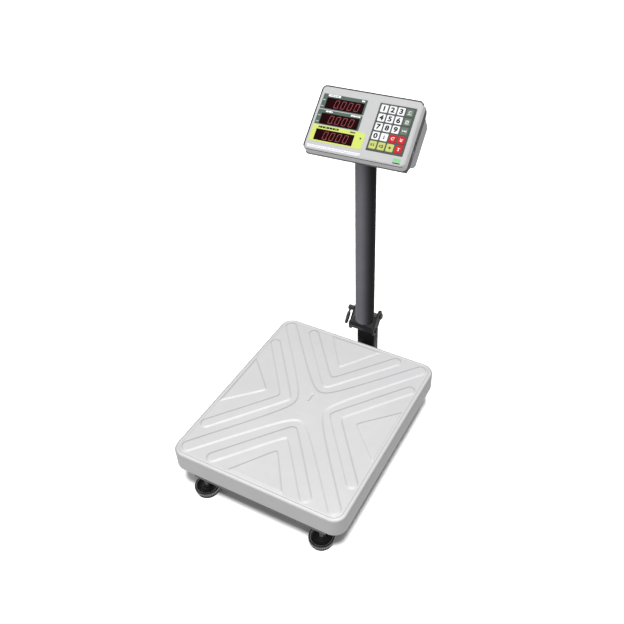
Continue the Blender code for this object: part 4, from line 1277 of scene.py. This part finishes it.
def bar(u0, u1, v0, v1, z0=0.52, z1=0.56):
    return flat_shape("", [(u0, v0), (u1, v0), (u1, v1), (u0, v1)], z0, z1, None)


def dashes(u0, u1, v, height, seed, z0=0.52, z1=0.56):
    """Row of short generic bars standing in for a printed caption."""
    out, u, k = [], u0, seed
    while u < u1 - 1.0:
        k = (k * 37 + 11) % 101
        w = min(1.6 + 4.2 * (k / 100.0), u1 - u)
        out.append(bar(u, u + w, v - height / 2, v + height / 2, z0, z1))
        u += w + 0.9
    return out


head_piece("captions_pale", join(
    [flat_shape("", rounded_rect(26.4, 4.4, 0.6, 4, -75.6, 49.1), 0.52, 0.56, None)]
    + [flat_shape("", rounded_rect(6.4, 3.2, 0.5, 4, -13.2, 48.6), 0.52, 0.56, None)]
    + dashes(-83.4, -69.0, 13.9, 3.0, 5) + dashes(-29.2, -8.9, 13.9, 3.0, 23)), INK_WHITE, smooth=0)
head_piece("side_marks", join(
    [flat_shape("", rounded_rect(5.6, 2.0, 0.6, 4, -95.2, v), 0.52, 0.56, None)
     for v in (38.0, 24.4, 3.8, -9.6)]), INK_PALE, smooth=0)
head_piece("captions_dark", join(
    dashes(-88.0, -43.0, -20.9, 4.1, 3) + dashes(-19.4, -8.8, -20.6, 3.2, 31)
    + dashes(-85.0, -65.0, 49.1, 1.3, 41, 0.56, 0.60)
    + [flat_shape("", [(5.4 + 1.9 * math.cos(2 * math.pi * k / 24),
                        -30.0 + 1.9 * math.sin(2 * math.pi * k / 24)) for k in range(24)],
                  0.52, 0.56, None)]), INK, smooth=0)
head_piece("footnote_bars", join(
    dashes(-100.0, 15.5, -61.9, 2.3, 13, 0.26, 0.30) + dashes(-99.0, 13.0, -65.2, 1.9, 57, 0.26, 0.30)),
    INK_PAPER, smooth=0)
head_piece("badge_plain", flat_shape("", rounded_rect(15.8, 7.6, 1.4, 6, 90.2, -60.0), 0.26, 0.42,
                                     None), MARK_GREEN, smooth=30)
head_piece("badge_underline", join([bar(83.0, 98.4, -67.3, -65.2, 0.26, 0.30)]), INK,
           smooth=0)

# windows and their digits
SEG_W, SEG_H, SEG_T = 8.4, 16.9, 0.85
SLANT = math.tan(math.radians(9.0))


def segment_bars():
    """Outlines of the seven bars of a digit, centred, upright."""
    w, h, t, g = SEG_W / 2, SEG_H / 2, SEG_T, 0.16
    k = t / 2

    def hor(y):
        return [(-w + k + g, y), (-w + t + g, y - k), (w - t - g, y - k), (w - k - g, y),
                (w - t - g, y + k), (-w + t + g, y + k)]

    def ver(x, ya, yb):
        return [(x, ya + g), (x + k, ya + k + g), (x + k, yb - k - g), (x, yb - g),
                (x - k, yb - k - g), (x - k, ya + k + g)]
    y_top, y_bot = h - k, -h + k
    return {"a": hor(y_top), "g": hor(0.0), "d": hor(y_bot),
            "f": ver(-w + k, 0.0, y_top), "b": ver(w - k, 0.0, y_top),
            "e": ver(-w + k, y_bot, 0.0), "c": ver(w - k, y_bot, 0.0)}


def slanted(outline, cu, cv):
    return [(cu + x + y * SLANT, cv + y) for x, y in outline]


for i, (cu, cv) in enumerate(WINDOWS):
    tag = ("upper", "middle", "lower")[i]
    pane = slab(WINDOW_W - 0.6, WINDOW_H - 0.6, 0.7, -2.6, -0.5, cu, cv, fillet=0.3, steps=4,
                fillet_steps=3)
    head_piece("window_%s_pane" % tag, pane, WINDOW, replaces=("display_window_" + tag,),
               slot="window_red", smooth=35)
    lit = []
    centres = [c - (0.0, 1.2, 1.9)[i] for c in (-80.6, -66.4, -52.0, -37.6, -22.8)]
    for n, du in enumerate(centres):
        for name, outline in segment_bars().items():
            if n > 0 and name != "g":
                lit.append(flat_shape("", slanted(outline, du, cv + 0.2), -0.5, -0.44, None))
        du2 = du + SEG_W / 2 + 1.35 - SEG_H / 2 * SLANT
        dot = [(du2 + 0.85 * math.cos(2 * math.pi * k / 16),
                cv + 0.2 - SEG_H / 2 + 0.9 + 0.85 * math.sin(2 * math.pi * k / 16))
               for k in range(16)]
        if n == 1:
            lit.append(flat_shape("", dot, -0.5, -0.44, None))
    head_piece("digits_%s_lit" % tag, join(lit), LED_ON, smooth=0)


def make_keypad():
    bm = slab(u1 - u0 - 0.6, v1 - v0 - 0.6, 1.0, -2.5, 0.3, (u0 + u1) / 2, (v0 + v1) / 2,
              fillet=0.25, steps=4, fillet_steps=3)
    ops = [("DIFFERENCE", slab(KEY_W + 0.8, KEY_H + 0.8, 1.8, -10, 5, u, v, steps=5))
           for u in KEY_COLS for v in KEY_ROWS]
    bm = combine(bm, *ops)
    head_piece("keypad_plate_film", bm, KEY_FILM, replaces=("keypad_plate",), slot="keypad",
               smooth=30)
    for k, (a, b) in enumerate(((24.6, 1.5), )):
        pass


make_keypad()


def key_cap():
    """Moulded cap: rolled edge and a shallow dished top."""
    loops = []
    w, h = KEY_W, KEY_H
    steps = 7

    def at(inset, z, r):
        loops.append([(x, y, z) for x, y in rounded_rect(w - 2 * inset, h - 2 * inset, r, steps)])
    at(0.0, -4.0, 1.5)
    at(0.0, 0.35, 1.5)
    for k in range(6):
        a = math.pi / 2 * k / 5
        at(0.75 * (1 - math.cos(a)), 0.45 + 0.75 * math.sin(a), 1.5 - 0.5 * (1 - math.cos(a)))
    for inset, z in ((1.1, 1.19), (1.7, 1.15), (2.6, 1.09), (3.8, 1.04), (5.2, 1.01)):
        at(inset, z, max(0.4, 1.0 - 0.12 * inset))
    return loft(loops, True, True)


def top_z(x, y):
    """Height of the cap's dished top at (x, y)."""
    inset = min(KEY_W / 2 - abs(x), KEY_H / 2 - abs(y))
    zs = ((0.75, 1.2), (1.1, 1.19), (1.7, 1.15), (2.6, 1.09), (3.8, 1.04), (5.2, 1.01), (8, 1.01))
    for (a, za), (b, zb) in zip(zs, zs[1:]):
        if a <= inset <= b:
            return za + (zb - za) * (inset - a) / (b - a)
    return 1.2


def glyph(text, size, bold=0.012):
    """Flat outline mesh of a numeral from the built-in typeface."""
    cu = bpy.data.curves.new("glyph", "FONT")
    cu.body = text
    cu.size = size
    cu.align_x = "CENTER"
    cu.align_y = "CENTER"
    cu.offset = bold * size
    cu.resolution_u = 6
    ob = bpy.data.objects.new("glyph", cu)
    scene.collection.objects.link(ob)
    bpy.context.view_layer.update()
    me = bpy.data.meshes.new_from_object(ob)
    bpy.data.objects.remove(ob, do_unlink=True)
    bpy.data.curves.remove(cu)
    bm = new_bm()
    bm.from_mesh(me)
    bpy.data.meshes.remove(me)
    bmesh.ops.remove_doubles(bm, verts=bm.verts, dist=0.002)
    xs = [v.co.x for v in bm.verts]
    ys = [v.co.y for v in bm.verts]
    shift = Vector(((max(xs) + min(xs)) / 2, (max(ys) + min(ys)) / 2, 0))
    for v in bm.verts:
        v.co -= shift
    return bm


def raise_mark(bm, lift=0.03):
    """Turn flat faces in the cap's own millimetres into a thin closed print that
    follows the dished top."""
    bmesh.ops.triangulate(bm, faces=bm.faces)
    for _ in range(2):
        bmesh.ops.subdivide_edges(
            bm, edges=[e for e in bm.edges if e.calc_length() > 1.6], cuts=1,
            use_grid_fill=False)
        bmesh.ops.triangulate(bm, faces=bm.faces)
    for v in bm.verts:
        v.co.z = top_z(v.co.x, v.co.y) - 0.02
    geom = bmesh.ops.extrude_face_region(bm, geom=list(bm.faces))
    for v in [g for g in geom["geom"] if isinstance(g, bmesh.types.BMVert)]:
        v.co.z += lift + 0.02
    bmesh.ops.recalc_face_normals(bm, faces=bm.faces)
    bm.transform(Matrix.Scale(MM, 4))
    return bm


def poly(points):
    bm = new_bm()
    bm.faces.new([bm.verts.new((x, y, 0)) for x, y in points])
    return bm


def ring_mark(cx, cy, ro, ri, seg=28):
    bm = new_bm()
    a = [bm.verts.new((cx + ro * math.cos(2 * math.pi * k / seg),
                       cy + ro * math.sin(2 * math.pi * k / seg), 0)) for k in range(seg)]
    b = [bm.verts.new((cx + ri * math.cos(2 * math.pi * k / seg),
                       cy + ri * math.sin(2 * math.pi * k / seg), 0)) for k in range(seg)]
    quad_strip(bm, a, b)
    return bm


def rect(x0, x1, y0, y1):
    return poly([(x0, y0), (x1, y0), (x1, y1), (x0, y1)])


def disc(cx, cy, r, seg=20):
    return poly([(cx + r * math.cos(2 * math.pi * k / seg), cy + r * math.sin(2 * math.pi * k / seg))
                 for k in range(seg)])


KEYS = [["key_1", "key_2", "key_3", "key_unit_price"],
        ["key_4", "key_5", "key_6", "key_memory"],
        ["key_7", "key_8", "key_9", "key_recall"],
        ["key_0", "key_point", "key_clear", "key_zero"],
        ["key_store_1", "key_store_2", "key_add", "key_tare"]]
KEY_COLOUR = [["white"] * 3 + ["grey"], ["white"] * 3 + ["grey"], ["white"] * 3 + ["grey"],
              ["white", "white", "red", "red"], ["yellow", "yellow", "yellow", "red"]]


def key_marks(name):
    """Print on the cap: (flat shapes, ink)."""
    if name[4:].isdigit():
        g = glyph(name[4:], 14.4, 0.042)
        for v in g.verts:
            v.co.x *= 1.16
        return [g], INK
    if name == "key_point":
        return [disc(0.0, -2.6, 1.6), rect(-0.6, 0.6, 0.6, 3.9), rect(-2.6, 2.6, 0.0, 0.9)], INK
    if name == "key_clear":
        # circular arrow: start over
        seg, bm = 26, new_bm()
        pts = [math.radians(50 + 280 * k / seg) for k in range(seg + 1)]
        a = [bm.verts.new((3.2 * math.cos(t), 3.2 * math.sin(t), 0)) for t in pts]
        b = [bm.verts.new((2.1 * math.cos(t), 2.1 * math.sin(t), 0)) for t in pts]
        quad_strip(bm, a, b, closed=False)
        return [bm, poly([(1.0, 3.1), (3.6, 3.6), (3.1, 0.8)])], INK_WHITE
    if name == "key_zero":
        return [rect(-3.4, -1.2, 2.2, 3.0), rect(1.2, 3.4, 2.2, 3.0),
                ring_mark(0, -0.8, 2.5, 1.5)], INK_WHITE
    if name == "key_tare":
        return [rect(-3.0, 3.0, 2.1, 3.1), rect(-0.55, 0.55, -3.2, 2.1),
                poly([(-2.0, -1.4), (2.0, -1.4), (0.0, -3.6)])], INK_WHITE
    if name == "key_unit_price":
        return [rect(-3.6, 3.6, 3.0, 3.7), ring_mark(-1.9, 0.2, 1.5, 0.9),
                rect(0.4, 3.4, -0.2, 0.6), rect(-4.2, 4.2, -4.2, -3.2)], INK_WHITE
    if name == "key_memory":
        return [rect(-3.2, -2.2, -3.0, 3.0), rect(-0.5, 0.5, -3.0, 3.0),
                rect(2.2, 3.2, -3.0, 3.0), rect(-2.2, -0.5, 2.2, 3.0),
                rect(0.5, 2.2, 2.2, 3.0), rect(-4.0, 4.0, -4.6, -3.8)], INK_WHITE
    if name == "key_recall":
        return [rect(-3.2, 0.6, -0.5, 0.5), poly([(0.6, -1.9), (0.6, 1.9), (3.4, 0.0)]),
                rect(-4.0, -3.2, -2.2, 2.2), rect(3.6, 4.4, -2.2, 2.2)], INK_WHITE
    if name in ("key_store_1", "key_store_2"):
        n = int(name[-1])
        g = glyph(str(n), 8.6, 0.040)
        for v in g.verts:
            v.co.x += 2.2
        return [rect(-4.4, -0.6, 1.2, 2.3), rect(-4.4, -0.6, -0.55, 0.55),
                rect(-4.4, -0.6, -2.3, -1.2), g], INK
    if name == "key_add":
        return [rect(-3.2, 3.2, -0.9, 0.9), rect(-0.9, 0.9, 0.9, 3.2), rect(-0.9, 0.9, -3.2, -0.9)], \
            INK
    return [], INK


for r, row in enumerate(KEYS):
    for c, name in enumerate(row):
        at = HEAD @ Matrix.Translation(Vector((KEY_COLS[c], KEY_ROWS[r], 0)) * MM)
        piece(name + "_cap", key_cap(), KEY_MATS[KEY_COLOUR[r][c]], name, (name,),
              "key_" + KEY_COLOUR[r][c], matrix=at, smooth=50)
        shapes, ink = key_marks(name)
        if shapes:
            piece(name + "_print", raise_mark(join(shapes)), ink, name, (), None, matrix=at, smooth=0)

# rear shell: flat-backed tray with a deep rounded hump
PROFILE = [(69.8, 20.3), (69.8, 38.0), (67.0, 42.5), (60.0, 44.5), (56.5, 47.0),
           (57.0, 59.0), (56.0, 71.0), (52.5, 80.0), (45.0, 86.0), (35.0, 88.0),
           (-14.0, 88.0), (-26.0, 84.5), (-36.0, 75.5), (-44.0, 63.0), (-49.5, 50.0),
           (-55.0, 42.0), (-66.5, 37.0), (-69.8, 32.5), (-69.8, 20.3)]
REAR_U, REAR_ROUND = 106.8, 10.0
SMOOTH_PROFILE = chaikin(PROFILE, 3, closed=False)


def rear_solid(inset, front):
    u_max = REAR_U - inset
    r = REAR_ROUND
    cuts = [(u_max - r + r * math.sin(math.pi / 2 * k / 10),
             88.0 - inset - r * (1 - math.cos(math.pi / 2 * k / 10))) for k in range(11)]
    sections = [(-u, cap) for u, cap in reversed(cuts)] + cuts
    loops = []
    for u, cap in sections:
        loop = []
        for v, w in SMOOTH_PROFILE:
            vv = v - math.copysign(min(inset, abs(v)), v)
            ww = front if w < 20.31 else min(w - inset, cap)
            loop.append((u, vv, -ww))
        loops.append(loop)
    return loft(loops, True, True)


def make_rear_shell():
    front = FRONT_D + 0.3
    ops = [("DIFFERENCE", rear_solid(SHELL_T, FRONT_D - 5)),
           ("DIFFERENCE", column_rod(27.7, TOP + 380, TOP + 524)),
           ("DIFFERENCE", prism([(SWITCH[0] - 9.2, -SWITCH[1] - 6.2), (SWITCH[0] + 9.2, -SWITCH[1] - 6.2),
                                 (SWITCH[0] + 9.2, -SWITCH[1] + 6.2), (SWITCH[0] - 9.2, -SWITCH[1] + 6.2)],
                                "x", 100, 112)),
           ("DIFFERENCE", prism([(INLET[0] - 7.2, -INLET[1] - 6.2), (INLET[0] + 7.2, -INLET[1] - 6.2),
                                 (INLET[0] + 7.2, -INLET[1] + 6.2), (INLET[0] - 7.2, -INLET[1] + 6.2)],
                                "x", 100, 112))]
    # battery door's outline and finger notch in the hump's flat back
    door_o = slab(86, 36, 4, -90, -87.3, 0, 4.5, steps=6)
    door_i = slab(85, 35, 3.6, -95, -80, 0, 4.5, steps=6)
    ops.append(("DIFFERENCE", combine(door_o, ("DIFFERENCE", door_i))))
    ops.append(("DIFFERENCE", slab(14, 3.4, 1.6, -90, -86.9, 0, 16.5, steps=6)))
    # counterbores for the case screws
    for u in (-98.0, 98.0):
        for v in (-60.0, 61.0):
            z = -(38.2 if v < 0 else 44.4)
            ops.append(("DIFFERENCE", moved(turned([(0, z - 6), (3.4, z - 6), (3.4, z + 2.0),
                                                    (0, z + 2.0)], 40), u, v, 0)))
    bm = combine(rear_solid(0.0, front), *ops)
    # painted shade: the tray's side walls are coloured much darker than the hump
    bmesh.ops.bisect_plane(bm, geom=list(bm.verts) + list(bm.edges) + list(bm.faces),
                           plane_co=(0, 0, -45.0 * MM), plane_no=(0, 0, 1))
    bm.normal_update()
    for f in bm.faces:
        c = f.calc_center_median() / MM
        if c.z > -45.0 and (abs(c.x) > REAR_U - 3 or abs(c.y) > 62.0):
            f.material_index = 1
    head_piece("rear_shell_moulding", bm, CASE_REAR, replaces=("rear_shell",), slot="case_dark",
               smooth=32, materials=[CASE_REAR, CASE_WALL_SHADE])


make_rear_shell()


def make_collar():
    z0, z1 = TOP + 484.0, TOP + 512.0
    prof = [(23.1, z0), (26.2, z0), (27.0, z0 + 0.5), (27.4, z0 + 1.4), (27.4, z0 + 9.0),
            (26.9, z0 + 9.6), (26.9, z0 + 10.6), (27.4, z0 + 11.2), (27.4, z1), (23.1, z1)]
    bm = turned([(r, z - FACE_Z) for r, z in prof], 96)
    piece("head_collar_ring", bm, PLASTIC_BLACK, "head", ("head_collar",), "black_plastic",
          matrix=SWIVEL, smooth=40)


make_collar()


def wall_slab(cv, cw, width, height, r, x0, x1, fillet=0.0, steps=6):
    """Plate on the head's right wall, its thickness along u."""
    bm = slab(height, width, r, x0, x1, 0, 0, fillet=fillet, steps=steps, fillet_steps=4)
    # local x -> -h depth, local y -> v, local z -> u
    m = Matrix(((0, 0, 1, 0), (0, 1, 0, cv * MM), (-1, 0, 0, -cw * MM), (0, 0, 0, 1)))
    bm.transform(m)
    return bm


def make_switch():
    v, w = SWITCH
    frame_bm = wall_slab(v, w, 22.0, 15.2, 1.6, REAR_U + 0.3, REAR_U + 1.9, fillet=0.6)
    body = wall_slab(v, w, 17.8, 11.8, 0.4, 94, REAR_U + 1.0)
    hole = wall_slab(v, w, 15.8, 9.2, 0.5, 98.5, 115)
    bm = combine(frame_bm, ("UNION", body), ("DIFFERENCE", hole))
    head_piece("switch_bezel", bm, PLASTIC_BLACK, replaces=("switch_housing",),
               slot="black_plastic", smooth=35)
    # rocker with two curved wings and printed on/off marks
    tip = math.radians(7.0)
    pts = [(-3.0, -5.5), (-3.0, 5.5), (1.0, 7.2)]
    n = 14
    for k in range(n + 1):
        b = 7.2 - 14.4 * k / n
        a = 2.0 + 0.9 * (abs(b) / 7.2) ** 1.6
        if k in (0, n):
            a -= 0.25
        pts.append((a, b))
    pts.append((1.0, -7.2))
    out = [(REAR_U + a * math.cos(tip) - b * math.sin(tip),
            v + a * math.sin(tip) + b * math.cos(tip)) for a, b in pts]
    bm = prism(out, "z", -w - 4.2, -w + 4.2)
    head_piece("power_rocker_key", bm, PLASTIC_BLACK, "rocker", ("power_rocker",), "black_plastic",
               bevel=0.25, smooth=50)

    def on_rocker(b, dz, x=0.0):
        a = 2.0 + 0.9 * (abs(b) / 7.2) ** 1.6 + x
        return Vector((REAR_U + a * math.cos(tip) - b * math.sin(tip),
                       v + a * math.sin(tip) + b * math.cos(tip), -w + dz)) * MM
    bm = new_bm()
    rings = [[], [], [], []]
    for k in range(24):
        t = 2 * math.pi * k / 24
        for j, (rr, x) in enumerate(((1.7, -0.05), (1.7, 0.05), (1.15, 0.05), (1.15, -0.05))):
            rings[j].append(bm.verts.new(on_rocker(3.9 + rr * math.cos(t), rr * math.sin(t), x)))
    for j in range(4):
        quad_strip(bm, rings[j], rings[(j + 1) % 4])
    bmesh.ops.recalc_face_normals(bm, faces=bm.faces)
    head_piece("power_mark_off", bm, INK_WHITE, "rocker", smooth=0)
    bm = new_bm()
    b0, b1, h = -5.6, -2.4, 0.28
    low = [bm.verts.new(on_rocker(b, z, -0.05)) for b, z in ((b0, -h), (b1, -h), (b1, h), (b0, h))]
    top = [bm.verts.new(on_rocker(b, z, 0.05)) for b, z in ((b0, -h), (b1, -h), (b1, h), (b0, h))]
    bm.faces.new(low)
    bm.faces.new(list(reversed(top)))
    quad_strip(bm, low, top)
    bmesh.ops.recalc_face_normals(bm, faces=bm.faces)
    head_piece("power_mark_on", bm, INK_WHITE, "rocker", smooth=0)


make_switch()


def make_inlet():
    v, w = INLET
    bm = combine(wall_slab(v, w, 18.0, 15.2, 2.2, REAR_U + 0.3, REAR_U + 1.9, fillet=0.6),
                 ("UNION", wall_slab(v, w, 13.8, 11.8, 0.4, 93, REAR_U + 1.0)),
                 ("DIFFERENCE", wall_slab(v, w, 10.4, 8.4, 4.1, 97, 115, steps=10)),
                 ("UNION", moved(turned([(0, 96), (1.0, 96), (1.0, 100.6), (0.7, 101.0), (0, 101.0)],
                                        32, "x"), 0, v, -w)))
    head_piece("charge_inlet_socket", bm, PLASTIC_BLACK, replaces=("charge_inlet",),
               slot="black_plastic", smooth=35)


make_inlet()

# case screws in the rear counterbores
for k, (u, v) in enumerate(((-98.0, -60.0), (98.0, -60.0), (-98.0, 61.0), (98.0, 61.0))):
    z = -(38.2 if v < 0 else 44.4)
    zt = z + 2.0
    screw = turned([(0, zt - 2.4), (2.2, zt - 2.4), (2.8, zt - 1.9), (3.0, zt - 1.2), (3.0, zt - 0.4),
                    (2.6, zt), (0, zt)], 40)
    # drawn facing -h: flip so the domed side points out of the back
    screw.transform(Matrix.Rotation(math.pi, 4, "X"))
    moved(screw, 0, 0, 2 * zt - 2.3)
    cross = combine(box(-1.9, 1.9, -0.35, 0.35, zt - 5, zt + 0.2), ("UNION", box(
        -0.35, 0.35, -1.9, 1.9, zt - 5, zt + 0.2)))
    piece("case_screw_%d" % (k + 1), moved(screw, u, v, 0), STEEL, "head", (), "zinc",
          matrix=HEAD, smooth=40)
    cross.free()

# the matt sheet of the platter shows no mirror image of the column and the head,
# and only the platform shades the paper
blockers = bpy.data.collections.new("paper_blockers")
for ob in bpy.data.objects:
    if ob.type != "MESH" or ob is FLOOR:
        continue
    if ob.name.startswith(("platter", "foot_", "base_", "load_", "cell_", "pan_")):
        blockers.objects.link(ob)
    else:
        ob.visible_glossy = False
paper.light_linking.blocker_collection = blockers
